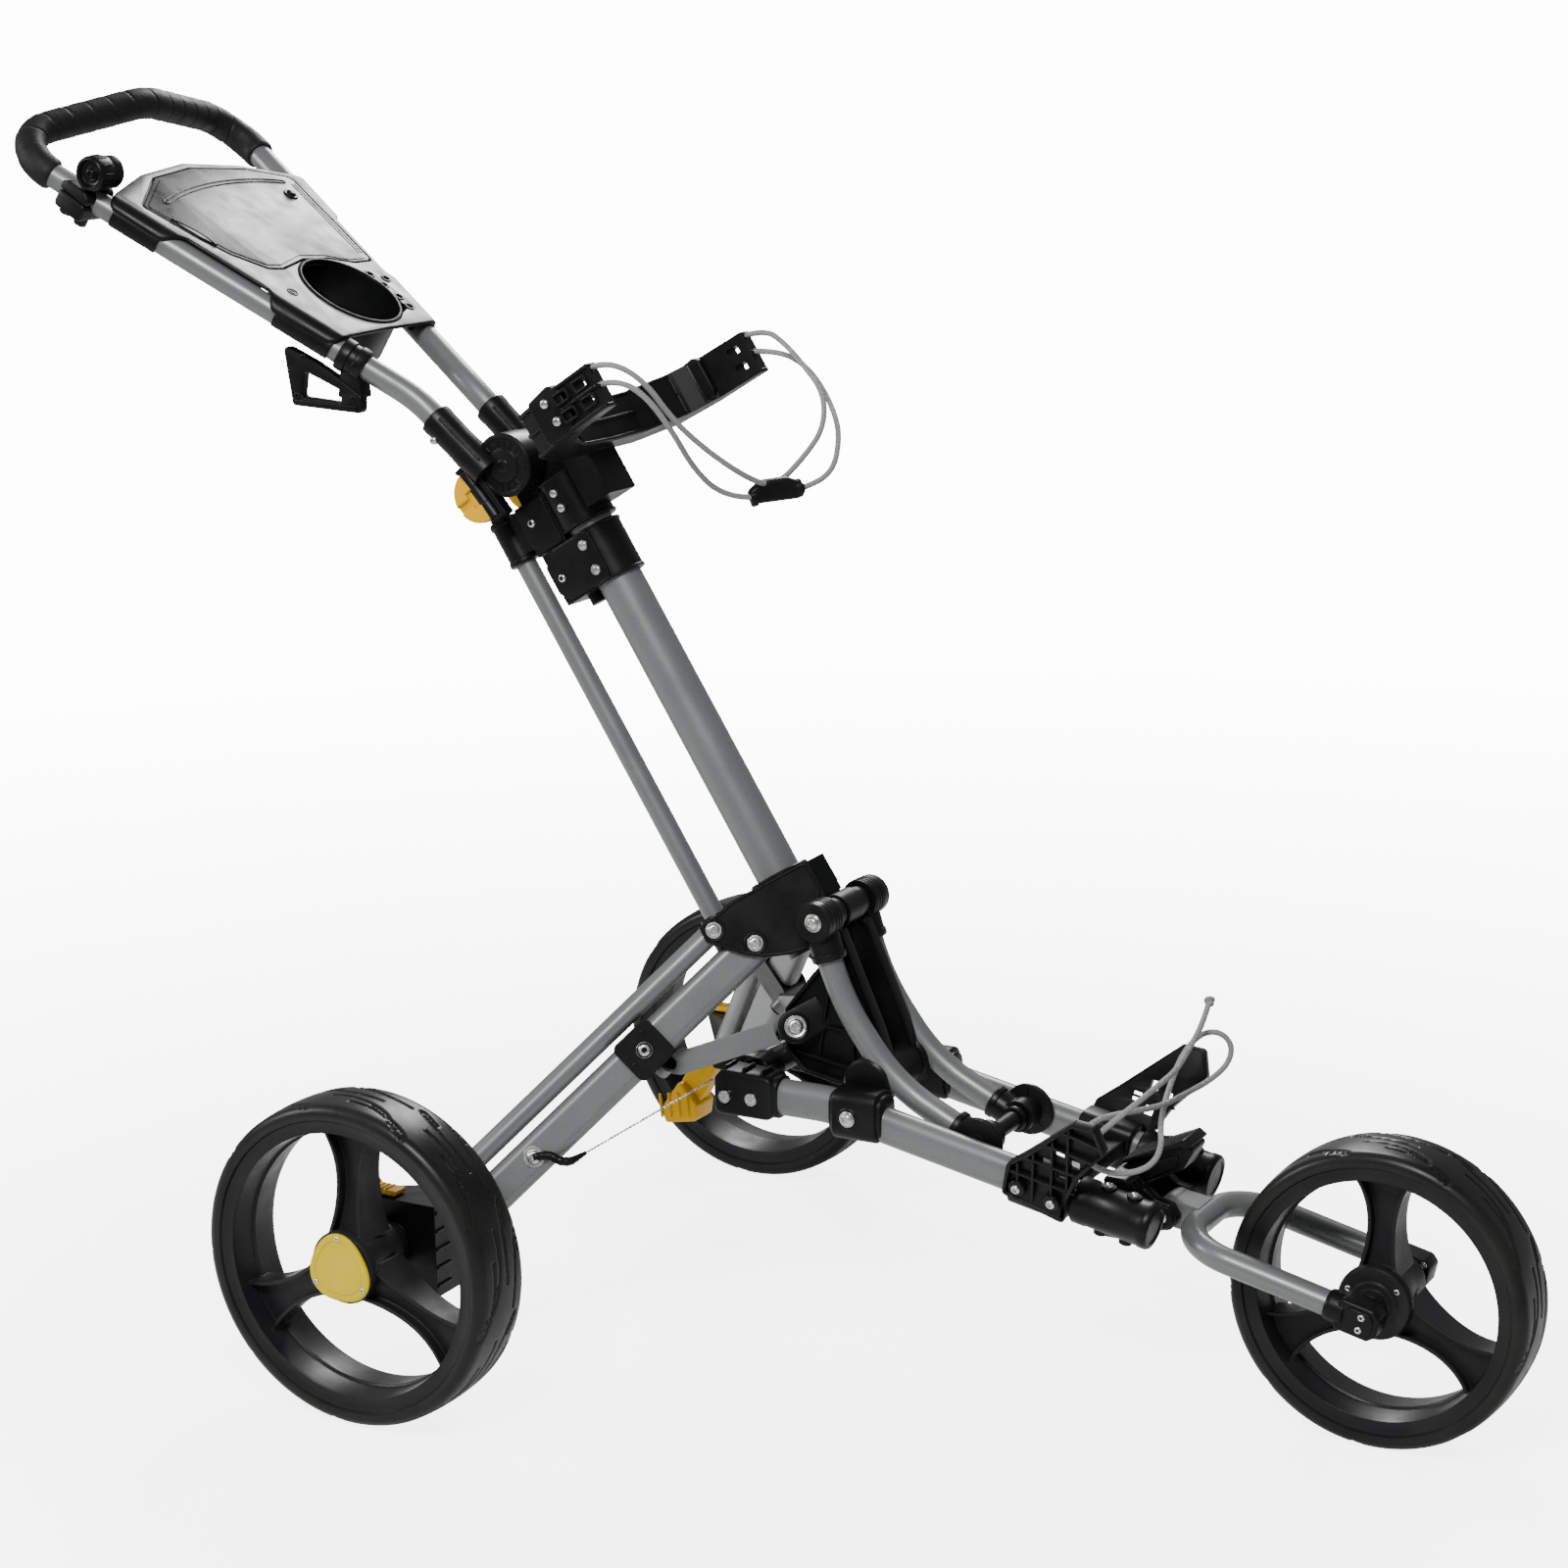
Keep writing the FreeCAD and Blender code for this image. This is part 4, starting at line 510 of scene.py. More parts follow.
def spoke_walls(centre, turn, start, end, outward, front, back):
    """One hollow spoke: two curved side walls and the web between them."""
    radial = Vector((math.cos(turn), 0, math.sin(turn)))
    side = Vector((-math.sin(turn), 0, math.cos(turn)))
    out = Vector((0, outward, 0))
    parts = []
    for wall in range(3):
        vertices = []
        for step in range(SPOKE_STEPS + 1):
            part = step / SPOKE_STEPS
            middle = radial * (start + (end - start) * part)
            for across, depth in spoke_sections(part, front, back)[wall]:
                vertices.append(centre + (middle + side * across + out * depth) * MM)
        parts.append((vertices, capped_faces(SPOKE_STEPS + 1, 4)))
    return parts


def rim(name, centre, radius, outward, body, node):
    """A deep barrel with rolled lips and a step inside, a stepped hub and three hollow spokes."""
    seat, inside = radius - 15, radius - 27
    place = frame_from(centre, (0, outward, 0), (1, 0, 0))
    section = [(inside + 1.5, 28), (seat - 3, 28), (seat - 1.5, 29), (seat + 1, 29), (seat + 2.4, 27.5),
               (seat + 2.4, 24.5), (seat, 23.5), (seat, -23.5), (seat + 2.4, -24.5), (seat + 2.4, -27.5),
               (seat + 1, -29), (seat - 1.5, -29), (seat - 3, -28), (inside + 1.5, -28),
               (inside + 0.6, -24), (inside - 2, 2), (inside, 3.5), (inside + 0.8, 24)]
    parts = [(rings(place, section, BARREL_STEPS), grid_faces(len(section), BARREL_STEPS))]
    hub = [(6.2, 32.6), (24, 32.6), (29.5, 31.6), (31.3, 29), (31.3, 24), (28.5, 22), (27, 6), (24.5, -6),
           (24.5, -22), (21.5, -24), (21.5, -32.4), (6.2, -32.4)]
    parts.append(turned(place, hub, 48))
    for count in range(SPOKES):
        turn = math.pi / 2 + count * 2 * math.pi / SPOKES
        parts += spoke_walls(centre, turn, 22, inside + 2, outward, 27, -14)
    new_piece(name, *joined(*parts), body, "rim_plastic", replaces=(node,))


def middle_of(node):
    low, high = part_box(node)
    return (low + high) / 2


for side, way in SIDES:
    centre = middle_of(f"rear_tyre_{side}")
    rim(f"wheel_rear_{side}", centre, 140, way, f"rear_wheel_{side}", f"rear_rim_{side}")
    tyre(f"foam_rear_{side}", centre, 140, f"rear_wheel_{side}", f"rear_tyre_{side}")
centre = middle_of("front_tyre")
rim("wheel_front", centre, 127, -1, "front_wheel", "front_rim")
tyre("foam_front", centre, 127, "front_wheel", "front_tyre")

# ---------------------------------------------------------------- frames of the mast, handle and legs

MAST_TURN, HANDLE_TURN = math.radians(-31.77), math.radians(32.34)
MAST = Matrix.Translation(Vector((-8.1, 0, 413.1)) * MM) @ Matrix.Rotation(MAST_TURN, 4, "Y")
HANDLE = Matrix.Translation(Vector((-336.8, 0, 811.2)) * MM) @ Matrix.Rotation(HANDLE_TURN, 4, "Y")
LEG_SPLAY, LEG_SWING, LEG_OFFSET = math.radians(36.15), math.radians(105.73), 21.3


def leg_plane(way):
    """Placement of a leg's plane: X along the mast, Y outward, Z the pivots' direction."""
    out = MAST.to_3x3() @ Vector((-math.cos(LEG_SPLAY), way * math.sin(LEG_SPLAY), 0))
    up = MAST.to_3x3() @ Vector((0, 0, 1))
    normal = up.cross(out) * -way
    made = Matrix((up, out, normal)).transposed().to_4x4()
    made.translation = MAST.translation
    return made


def at(place, x, y, z):
    return place @ (Vector((x, y, z)) * MM)


def along(place, x, y, z):
    return (place.to_3x3() @ Vector((x, y, z))).normalized()


def leg_frame(way, pivot):
    """Placement at a leg's pivot: X down the leg, Z outward along the pivot."""
    plane = leg_plane(way)
    down = along(plane, math.cos(LEG_SWING), math.sin(LEG_SWING), 0)
    normal = along(plane, 0, 0, 1)
    made = Matrix((down, normal.cross(down) * -way, normal)).transposed().to_4x4()
    made.translation = at(plane, pivot[0], pivot[1], LEG_OFFSET)
    return made


MAIN_PIVOT, LINK_PIVOT = (-47.1, 47.9), (-20.7, 74.0)


def mast_side(x, y, z, way):
    """A placement in the mast's side plane: X forward, Y up the mast and Z outward, on one side."""
    return axes(at(MAST, x, y, z), along(MAST, 1, 0, 0), along(MAST, 0, 0, 1), (0, way, 0))


def handle_at(s, y, h):
    return at(HANDLE, -s, y, h)


TUBE_START_Y, TUBE_SPREAD, TUBE_RUN = 43.5, 120.5, 416


def tube_axis_y(s):
    return TUBE_START_Y + TUBE_SPREAD * s / TUBE_RUN


def side_tube_at(s, way):
    """A point on the axis of a handle tube, up from its bend."""
    return handle_at(s, way * tube_axis_y(s), s / TUBE_RUN)


# ---------------------------------------------------------------- bolts


def socket_bolt(name, place, axis, body, radius, height=3.0, washer=0.0, slot="zinc_steel"):
    """A button-head bolt with a hexagonal socket, on a washer if it has one."""
    seat = frame_from(place, axis)
    rows = []
    base = 0.0
    if washer:
        rows += [(washer, -0.4, 0), (washer, 0.9, 0), (washer - 0.3, 1.1, 0)]
        base = 1.0
    rows += [(radius, base - 0.4, 0), (radius, base + height * 0.35, 0),
             (radius * 0.92, base + height * 0.65, 0), (radius * 0.74, base + height * 0.92, 0),
             (radius * 0.6, base + height, 0), (radius * 0.47, base + height, 1),
             (radius * 0.45, base + height - 1.9, 1), (0.1, base + height - 2.1, 0)]
    steps = 30
    vertices = []
    for reach, level, hexed in rows:
        for step in range(steps):
            angle = 2 * math.pi * step / steps
            wide = reach
            if hexed:
                wide = reach * 0.9 / math.cos((angle % (math.pi / 3)) - math.pi / 6)
            vertices.append(seat @ (ring_point(wide, angle, level) * MM))
    return new_piece(name, vertices, capped_faces(len(rows), steps), body, slot)


def mirrored_bolts(name, point, axis, bodies, radius, **more):
    """The same bolt on both sides; point and axis are the right-hand one's."""
    for side, way in SIDES:
        flip = Vector((1, -way, 1))
        socket_bolt(f"{name}_{side}", Vector(point) * flip, Vector(axis) * flip,
                    bodies.format(side), radius, **more)


def mm_point(x, y, z):
    return Vector((x, y, z)) * MM


plane = leg_plane(-1)
leg = leg_frame(-1, MAIN_PIVOT)
OUT = along(plane, 0, 0, 1)
mirrored_bolts("leg_bolt", at(plane, *MAIN_PIVOT, 35.5), OUT, "mast", 5.6, washer=7.0)
mirrored_bolts("link_bolt", at(plane, *LINK_PIVOT, 35.5), OUT, "mast", 5.6, washer=7.0)
mirrored_bolts("clamp_bolt", at(leg, 131, 0, 12), OUT, "leg_{}", 5.6, washer=7.0)
for count, (x, y) in enumerate(((122, -12), (146, 4))):
    mirrored_bolts(f"clamp_dimple_{count}", at(leg, x, y, 11.9), OUT, "leg_{}", 2.4,
                   height=0.7, slot="black_plastic")
mirrored_bolts("ear_bolt", at(plane, -126, 50.3, LEG_OFFSET - 8.2), OUT, "frame", 6.8, height=3.2,
               washer=9.5)
mirrored_bolts("cable_bolt", at(leg, 261, 0, 9), OUT, "leg_{}", 6.0, height=4.5, washer=8.0)
DOWN_Y = Vector((0, -1, 0))
mirrored_bolts("pivot_bolt", mm_point(56.3, -54, 387.3), DOWN_Y, "frame", 5.6, washer=7.4)
mirrored_bolts("tube_clamp_bolt", mm_point(102.6, -83, 229), DOWN_Y, "frame", 5.4, washer=7.0)
for count, (x, z) in enumerate(((-17, 231), (9, 232))):
    mirrored_bolts(f"rear_socket_bolt_{count}", mm_point(x, -80.5, z), DOWN_Y, "frame", 4.4)
for count, (p, m) in enumerate(((-1, 326), (-0.4, 301.6), (-37, 312))):
    mirrored_bolts(f"lower_collar_bolt_{count}", at(MAST, p, -23 - (1.4 if p > -5 else 0), m), DOWN_Y,
                   "mast", 4.0)
for count, (p, m, y) in enumerate(((-2.4, 378, 25), (-2.4, 363.6, 25), (-41, 368, 19))):
    mirrored_bolts(f"upper_collar_bolt_{count}", at(MAST, p, -y, m), DOWN_Y, "mast", 4.0)
mirrored_bolts("tube_socket_bolt", mm_point(-312.5, -54, 777), DOWN_Y, "handle", 3.8)
mirrored_bolts("knuckle_bolt", at(MAST, -25, -40, 420), DOWN_Y, "handle", 6.5, height=2.5,
               slot="black_plastic", washer=10)

# ---------------------------------------------------------------- grip


def rounded_route(corners, radii, spacing):
    """Evenly spaced points along straight runs joined by tangent arcs, in metres."""
    points = [corners[0]]
    for before, corner, after, radius in zip(corners, corners[1:], corners[2:], radii):
        inward, outward = (before - corner).normalized(), (after - corner).normalized()
        turn = math.pi - inward.angle(outward)
        reach = radius * math.tan(turn / 2)
        centre = corner + (inward + outward).normalized() * (radius / math.cos(turn / 2))
        first, last = corner + inward * reach - centre, corner + outward * reach - centre
        for step in range(17):
            part = step / 16
            mix = first * math.sin((1 - part) * turn) + last * math.sin(part * turn)
            points.append(centre + mix / math.sin(turn))
    points.append(corners[-1])
    lengths = [0.0]
    for a, b in zip(points, points[1:]):
        lengths.append(lengths[-1] + (b - a).length)
    count = int(lengths[-1] / spacing)
    even, index = [], 0
    for step in range(count + 1):
        want = lengths[-1] * step / count
        while index < len(points) - 2 and lengths[index + 1] < want:
            index += 1
        span = lengths[index + 1] - lengths[index]
        part = (want - lengths[index]) / span if span else 0
        even.append(points[index].lerp(points[index + 1], part))
    return even, lengths[-1]


def swept(points, radius_at, steps):
    """A round skin round a line of points; radius_at gives the radius at a point's number and angle."""
    vertices = []
    side = (points[1] - points[0]).orthogonal().normalized()
    for index, point in enumerate(points):
        ahead = points[min(index + 1, len(points) - 1)] - points[max(index - 1, 0)]
        ahead.normalize()
        side = (side - ahead * side.dot(ahead)).normalized()
        other = ahead.cross(side)
        for step in range(steps):
            angle = 2 * math.pi * step / steps
            outward = side * math.cos(angle) + other * math.sin(angle)
            vertices.append(point + outward * radius_at(index, angle))
    return vertices, capped_faces(len(points), steps)


CORNER_S, APEX_S, APEX_H = 416.0, 403.0, 41.0


def handle_grip():
    """The wrapped foam grip: overlapping turns with sunk seams and a smooth sleeve at each end."""
    corners = [side_tube_at(360, -1), side_tube_at(CORNER_S, -1), handle_at(APEX_S, 0, APEX_H),
               side_tube_at(CORNER_S, 1), side_tube_at(360, 1)]
    spacing = 0.0012
    points, length = rounded_route(corners, [0.040, 0.080, 0.040], spacing)
    spacing = length / (len(points) - 1)
    sleeve, turn = 0.030, 0.0235

    def radius_at(index, angle):
        place = index * spacing
        edge = min(place, length - place)
        if edge < sleeve:
            rounding = 0.0012 * math.exp(-(edge / 0.0015) ** 2)
            return 0.0145 - rounding - 0.0009 * math.exp(-((edge - sleeve) / 0.0012) ** 2)
        slant = 0.0035 * math.sin(angle)
        part = ((place - sleeve + slant) / turn) % 1.0
        gap = min(part, 1 - part) * turn
        return 0.0140 + 0.0004 * part - 0.0011 * math.exp(-(gap / 0.0010) ** 2)

    new_piece("grip_skin", *swept(points, radius_at, 48), "handle", "grip_wrap", replaces=("handle_grip",))


handle_grip()

# ---------------------------------------------------------------- moulded plates and rings


def rounded_outline(corners, radius):
    """The outline with every corner eased by a small curve."""
    made = []
    for index, corner in enumerate(corners):
        here = Vector(corner)
        before = Vector(corners[index - 1]) - here
        after = Vector(corners[(index + 1) % len(corners)]) - here
        turn = math.pi - before.angle(after)
        reach = min(radius * math.tan(turn / 2), before.length * 0.45, after.length * 0.45)
        if reach < 0.05:
            made.append(here)
            continue
        first, last = here + before.normalized() * reach, here + after.normalized() * reach
        for step in range(6):
            part = step / 5
            made.append(first * (1 - part) ** 2 + here * 2 * part * (1 - part) + last * part ** 2)
    return made


def circle_line(x, y, radius, steps):
    return [Vector((x, y)) + ring_point(radius, 2 * math.pi * k / steps, 0).xy for k in range(steps)]


def plate_mesh(corners, low, high, corner=2.0, edge=0.8, holes=()):
    """A flat plate with eased corners, rolled edges and holes; coordinates in millimetres."""
    data = bpy.data.curves.new("plate", "CURVE")
    data.dimensions = "2D"
    data.fill_mode = "BOTH"
    data.extrude = max((high - low) / 2 - edge, 0.01)
    data.bevel_depth = edge
    data.bevel_resolution = 2
    data.offset = -edge
    for line in [rounded_outline(corners, corner), *holes]:
        spline = data.splines.new("POLY")
        spline.points.add(len(line) - 1)
        for point, place in zip(spline.points, line):
            point.co = (place[0], place[1], 0, 1)
        spline.use_cyclic_u = True
    carrier = bpy.data.objects.new("plate", data)
    mesh = bpy.data.meshes.new_from_object(carrier)
    middle = Vector((0, 0, (low + high) / 2))
    vertices = [v.co + middle for v in mesh.vertices]
    faces = [tuple(p.vertices) for p in mesh.polygons]
    bpy.data.objects.remove(carrier)
    bpy.data.meshes.remove(mesh)
    return vertices, faces


def plate(name, place, corners, low, high, body, slot="black_plastic", replaces=(), **shape):
    """A piece cut from flat stock in a placement's X and Y, between two heights; see plate_mesh."""
    vertices, faces = plate_mesh(corners, low, high, **shape)
    return new_piece(name, [place @ (v * MM) for v in vertices], faces, body, slot, replaces)


def ring_piece(name, place, section, body, steps=48):
    """A ring about a placement's Z; its closed section is (radius, height) in millimetres."""
    return new_piece(name, rings(place, section, steps), grid_faces(len(section), steps), body)


def lathe_piece(name, place, profile, body, steps=48, slot="black_plastic", replaces=()):
    """A solid turned about a placement's Z; its profile is (radius, height) in millimetres."""
    return new_piece(name, *turned(place, profile, steps), body, slot, replaces)


def along_line(name, points, radius, body, steps=10, slot="black_plastic", closed=False):
    """A round bead laid along points given in metres; radius in millimetres."""
    if closed:
        points = [*points, points[0]]
    return new_piece(name, *swept(points, lambda index, angle: radius * MM, steps), body, slot)


def radial_ribs(name, side, place, ribs, reaches, height, radius, body):
    """Fine beads like spokes on a round face, from one distance out to another."""
    for count in range(ribs):
        angle = 2 * math.pi * count / ribs
        ends = [at(place, *ring_point(r, angle, height)) for r in reaches]
        along_line(f"{name}_{count}_{side}", ends, radius, body, 6)


def axes(origin, x, y, z):
    """A placement from three directions; it may be a mirrored one."""
    made = Matrix([Vector(way).normalized() for way in (x, y, z)]).transposed().to_4x4()
    made.translation = Vector(origin)
    return made


def shifted(place, x, y, z):
    """The same placement moved along its own axes, in millimetres."""
    return place @ Matrix.Translation(Vector((x, y, z)) * MM)


def upright(x, z, way, y=0.0):
    """A placement in the trolley's side plane: X forward, Y up and Z outward, on one side."""
    return axes((x * MM, way * y * MM, z * MM), (1, 0, 0), (0, 0, 1), (0, way, 0))


RIGHT_FACE = upright(0, 0, -1)


def crosswise(x, z, way):
    """A placement at a lower tube, looking along the trolley: X outward, Y up and Z forward."""
    return axes(mm_point(x, way * 65, z), (0, way, 0), (0, 0, 1), (1, 0, 0))


def bar_outline(a, b, half):
    """The outline of a straight bar between two points."""
    across = Vector((b[1] - a[1], a[0] - b[0])).normalized() * half
    return [(a[0] + across.x, a[1] + across.y), (b[0] + across.x, b[1] + across.y),
            (b[0] - across.x, b[1] - across.y), (a[0] - across.x, a[1] - across.y)]


def box_outline(x_low, x_high, y_low, y_high):
    return [(x_low, y_low), (x_high, y_low), (x_high, y_high), (x_low, y_high)]


def band(inner, outer, low, high, ease=1.0, rise=1.0):
    """A ring's section (radius, height) with eased outer corners."""
    return [(inner, low), (outer - ease, low), (outer, low + rise), (outer, high - rise),
            (outer - ease, high), (inner, high)]


def side_faced(place, way):
    """A placement with the same X and Z as X and Y, facing sideways, for outlines drawn in that plane."""
    return axes(place.translation, along(place, 1, 0, 0), along(place, 0, 0, 1), along(place, 0, way, 0))


# ---------------------------------------------------------------- wheel hubs and fork ends


def hub_cap(side, way):
    middle = middle_of(f"rear_tyre_{side}")
    place = frame_from(middle + Vector((0, way * 33, 0)) * MM, (0, way, 0), (0, 0, 1))
    rows = [(0.97, -0.5), (1, 0.6), (1, 2.2), (0.975, 3), (0.94, 3.3), (0.81, 3.3), (0.795, 2.9),
            (0.775, 2.9), (0.76, 3.3), (0.4, 3.45), (0.01, 3.5)]
    steps = 90
    vertices = []
    for scale, height in rows:
        for step in range(steps):
            angle = 2 * math.pi * step / steps
            reach = (29.2 + 1.9 * math.cos(3 * angle)) * scale
            vertices.append(place @ (ring_point(reach, angle, height) * MM))
    faces = grid_faces(len(rows), steps, closed_rows=False)
    faces.append(tuple(range(steps)))
    cap = new_piece(f"cap_{side}", vertices, faces, f"rear_wheel_{side}", "yellow_plastic",
                    replaces=(f"hub_cap_{side}",))
    dress(cap, "lemon_plastic")
    for count in range(3):
        angle = count * 2 * math.pi / 3
        spot = place @ (ring_point(27.3, angle, 3.1) * MM)
        socket_bolt(f"cap_screw_{count}_{side}", spot, (0, way, 0), f"rear_wheel_{side}", 2.5, height=1.3)


for side, way in SIDES:
    hub_cap(side, way)

FRONT_AXLE = (551, 127)
FORK_LEAN = math.atan(0.2344)
for side, way in SIDES:
    hub_face = upright(*FRONT_AXLE, way)
    lathe_piece(f"front_sleeve_{side}", hub_face,
                [(20, 30), (20, 33.5), (18.5, 35), (14, 35.4), (13, 36.5), (12.6, 45.5), (11.6, 46.6),
                 (6, 46.6)], "front_wheel", slot="rim_plastic")
    for count in range(3):
        spot = at(hub_face, *ring_point(23.6, math.radians(35 + 120 * count), 32.2))
        socket_bolt(f"front_hub_screw_{count}_{side}", spot, (0, way, 0), "front_wheel", 2.6, height=1.4)
    tip = axes(mm_point(551, way * 61.5, 127), (math.cos(FORK_LEAN), 0, -math.sin(FORK_LEAN)),
               (math.sin(FORK_LEAN), 0, math.cos(FORK_LEAN)), (0, way, 0))
    plate(f"fork_end_{side}", tip, [(-18, -13.6), (12, -13.6), (18, -8), (18, 8), (12, 13.6), (-18, 13.6)],
          -13.4, 11.5, "fork", corner=5, edge=2.2, replaces=("fork_tips",))
    plate(f"fork_end_face_{side}", tip, [(-9, -10), (10, -10), (14, -5), (14, 5), (10, 10), (-9, 10)], 9,
          13.4, "fork", corner=4, edge=1.0)
    collar = axes(at(tip, -12, 0, 0), along(tip, 0, 1, 0), (0, way, 0), along(tip, -1, 0, 0))
    ring_piece(f"fork_end_collar_{side}", collar,
               [(11.1, 0), (13.4, 0), (13.4, 12), (13, 15), (12, 16.2), (11.1, 16.2)], "fork")
    for count, height in enumerate((-5.5, 5.5)):
        socket_bolt(f"fork_end_screw_{count}_{side}", at(tip, 4, height, 13), (0, way, 0), "fork", 3.0,
                    height=1.6)

# ---------------------------------------------------------------- console

DECK_HALF = [(78, 0), (76, -79), (140, -98), (150, -87), (165, -91), (235, -111), (246, -128), (300, -143),
             (308, -128), (330, -70), (341, 0)]
LID_OUTLINE = [(285, -116), (232, -96), (205, -82), (180, -58), (177, -40), (186, 0), (182, 35), (172, 60),
               (171, 86), (303, 118), (322, 70), (331, 0), (322, -60)]
CUP_S, CUP_Y, CUP_RADIUS, CUP_FLOOR = 134.0, 10.0, 47.0, -30.0
TEE_HOLES = [(152, 61), (143, 75), (134.7, 62), (116, 62), (101, 60)]
DECK_TOP, DECK_LOW, SKIRT_RADIUS = 16.0, 12.2, 15.6


def flat(corners):
    """An outline given up the handle and across it, in the handle's own X and Y."""
    return [(-s, y) for s, y in corners]


def grown(corners, gap):
    middle = [sum(c[k] for c in corners) / len(corners) for k in (0, 1)]
    made = []
    for s, y in corners:
        reach = math.hypot(s - middle[0], y - middle[1])
        made.append((s + (s - middle[0]) * gap / reach, y + (y - middle[1]) * gap / reach))
    return made


def deck_drop(x, y):
    """How far the deck rolls down over the tubes at its sides."""
    beyond = abs(y) - tube_axis_y(-x)
    if beyond <= 0:
        return 0.0
    return SKIRT_RADIUS - math.sqrt(max(SKIRT_RADIUS ** 2 - beyond ** 2, 1.0))


def console_deck():
    whole = DECK_HALF + [(s, -y) for s, y in reversed(DECK_HALF[1:-1])]
    holes = [circle_line(-CUP_S, CUP_Y, CUP_RADIUS, 64), rounded_outline(flat(grown(LID_OUTLINE, 0.9)), 7)]
    holes += [circle_line(-s, y, 2.9, 16) for s, y in TEE_HOLES]
    vertices, faces = plate_mesh(flat(whole), DECK_LOW, DECK_TOP, corner=12, edge=1.6, holes=holes)
    shape = bmesh.new()
    made = [shape.verts.new(v) for v in vertices]
    for face in faces:
        try:
            shape.faces.new([made[index] for index in face])
        except ValueError:
            continue
    slope = TUBE_SPREAD / TUBE_RUN
    for way in (-1, 1):
        for beyond in (0, 3, 6, 8.5, 10.5, 12):
            normal = Vector((slope, way, 0)).normalized()
            bmesh.ops.bisect_plane(shape, geom=shape.verts[:] + shape.edges[:] + shape.faces[:],
                                   plane_co=Vector((0, way * (TUBE_START_Y + beyond), 0)), plane_no=normal)
    for vertex in shape.verts:
        vertex.co.z -= deck_drop(vertex.co.x, vertex.co.y)
    shape.verts.index_update()
    new_piece("console_deck", [HANDLE @ (v.co * MM) for v in shape.verts],
              [tuple(v.index for v in f.verts) for f in shape.faces], "handle",
              replaces=("console_tray",))
    shape.free()


console_deck()
bowl = shifted(HANDLE, -CUP_S, CUP_Y, 0)
ring_piece("cup_bowl", bowl, [(CUP_RADIUS, DECK_TOP - 1), (CUP_RADIUS - 1.5, -8),
                              (CUP_RADIUS - 2.5, CUP_FLOOR + 4), (CUP_RADIUS - 5, CUP_FLOOR + 2.6),
                              (28.5, CUP_FLOOR + 2.6), (28, CUP_FLOOR + 1.3), (28.5, CUP_FLOOR),
                              (CUP_RADIUS, CUP_FLOOR), (CUP_RADIUS + 2.3, CUP_FLOOR + 3),
                              (CUP_RADIUS + 2.4, DECK_LOW)], "handle", 72)
ring_piece("cup_lip", bowl, [(CUP_RADIUS - 0.2, DECK_TOP - 2), (CUP_RADIUS - 0.2, DECK_TOP + 0.6),
                             (CUP_RADIUS + 0.8, DECK_TOP + 1.5), (CUP_RADIUS + 2.6, DECK_TOP + 1.2),
                             (CUP_RADIUS + 4, DECK_TOP + 0.1), (CUP_RADIUS + 4, DECK_TOP - 2)], "handle",
           72)
for count, (s, y) in enumerate(TEE_HOLES):
    ring_piece(f"tee_hole_{count}", shifted(HANDLE, -s, y, DECK_TOP),
               [(2.8, -4), (2.9, 0.2), (3.6, 0.9), (4.6, 0.8), (5.4, 0), (5.4, -1), (3.2, -4)], "handle",
               24)
ring_piece("deck_screw_pit", shifted(HANDLE, -144, -64, DECK_TOP),
           [(3.6, -1), (3.7, 0.3), (4.4, 0.7), (5.4, 0.4), (5.8, -0.4), (5.8, -1)], "handle", 24)
socket_bolt("deck_screw", at(HANDLE, -144, -64, DECK_TOP - 0.6), along(HANDLE, 0, 0, 1), "handle", 3.0,
            height=1.0, slot="black_plastic")
tray_high, tray_low = DECK_LOW + 0.2, -12.0
tray = [(187, -76), (187, 76), (300, 98), (300, -98)]
plate("tray_walls", HANDLE, flat(tray), tray_low, tray_high, "handle", corner=6, edge=0.6,
      holes=[rounded_outline(flat([(190, -73), (190, 73), (297, 95), (297, -95)]), 5)])
plate("tray_floor", HANDLE, flat(tray), tray_low, tray_low + 2.5, "handle", corner=6, edge=0.6)
for count, s in enumerate((205, 225, 245, 265, 285)):
    plate(f"tray_rib_{count}", HANDLE, flat(box_outline(s - 0.8, s + 0.8, -68, 68)),
          tray_low - 3, tray_low + 0.5, "handle", corner=0.3, edge=0.2)
for side, way in SIDES:
    for count, (s_low, s_high) in enumerate(((82, 136), (252, 297))):
        points = [side_tube_at(s_low + (s_high - s_low) * k / 6, way) for k in range(7)]
        ahead = (points[-1] - points[0]).normalized()
        hug = axes(points[0], along(HANDLE, 0, way, 0) - ahead * ahead.dot(along(HANDLE, 0, way, 0)),
                   along(HANDLE, 0, 0, 1), ahead)
        length = (points[-1] - points[0]).length / MM
        vertices, faces = [], []
        steps = 16
        for reach in (11.3, 13.8):
            for height in (0, length):
                for step in range(steps + 1):
                    start, sweep = (-38, 218) if reach > 12 else (-36, 214)
                    angle = math.radians(start + sweep * step / steps)
                    vertices.append(hug @ (ring_point(reach, angle, height) * MM))
        n = steps + 1
        for step in range(steps):
            a, b = step, step + 1
            faces += [(a, b, n + b, n + a), (2 * n + a, 2 * n + b, 3 * n + b, 3 * n + a),
                      (a, b, 2 * n + b, 2 * n + a), (n + a, n + b, 3 * n + b, 3 * n + a)]
        faces += [(0, n, 3 * n, 2 * n), (steps, n + steps, 3 * n + steps, 2 * n + steps)]
        new_piece(f"tube_skirt_{count}_{side}", vertices, faces, "handle")

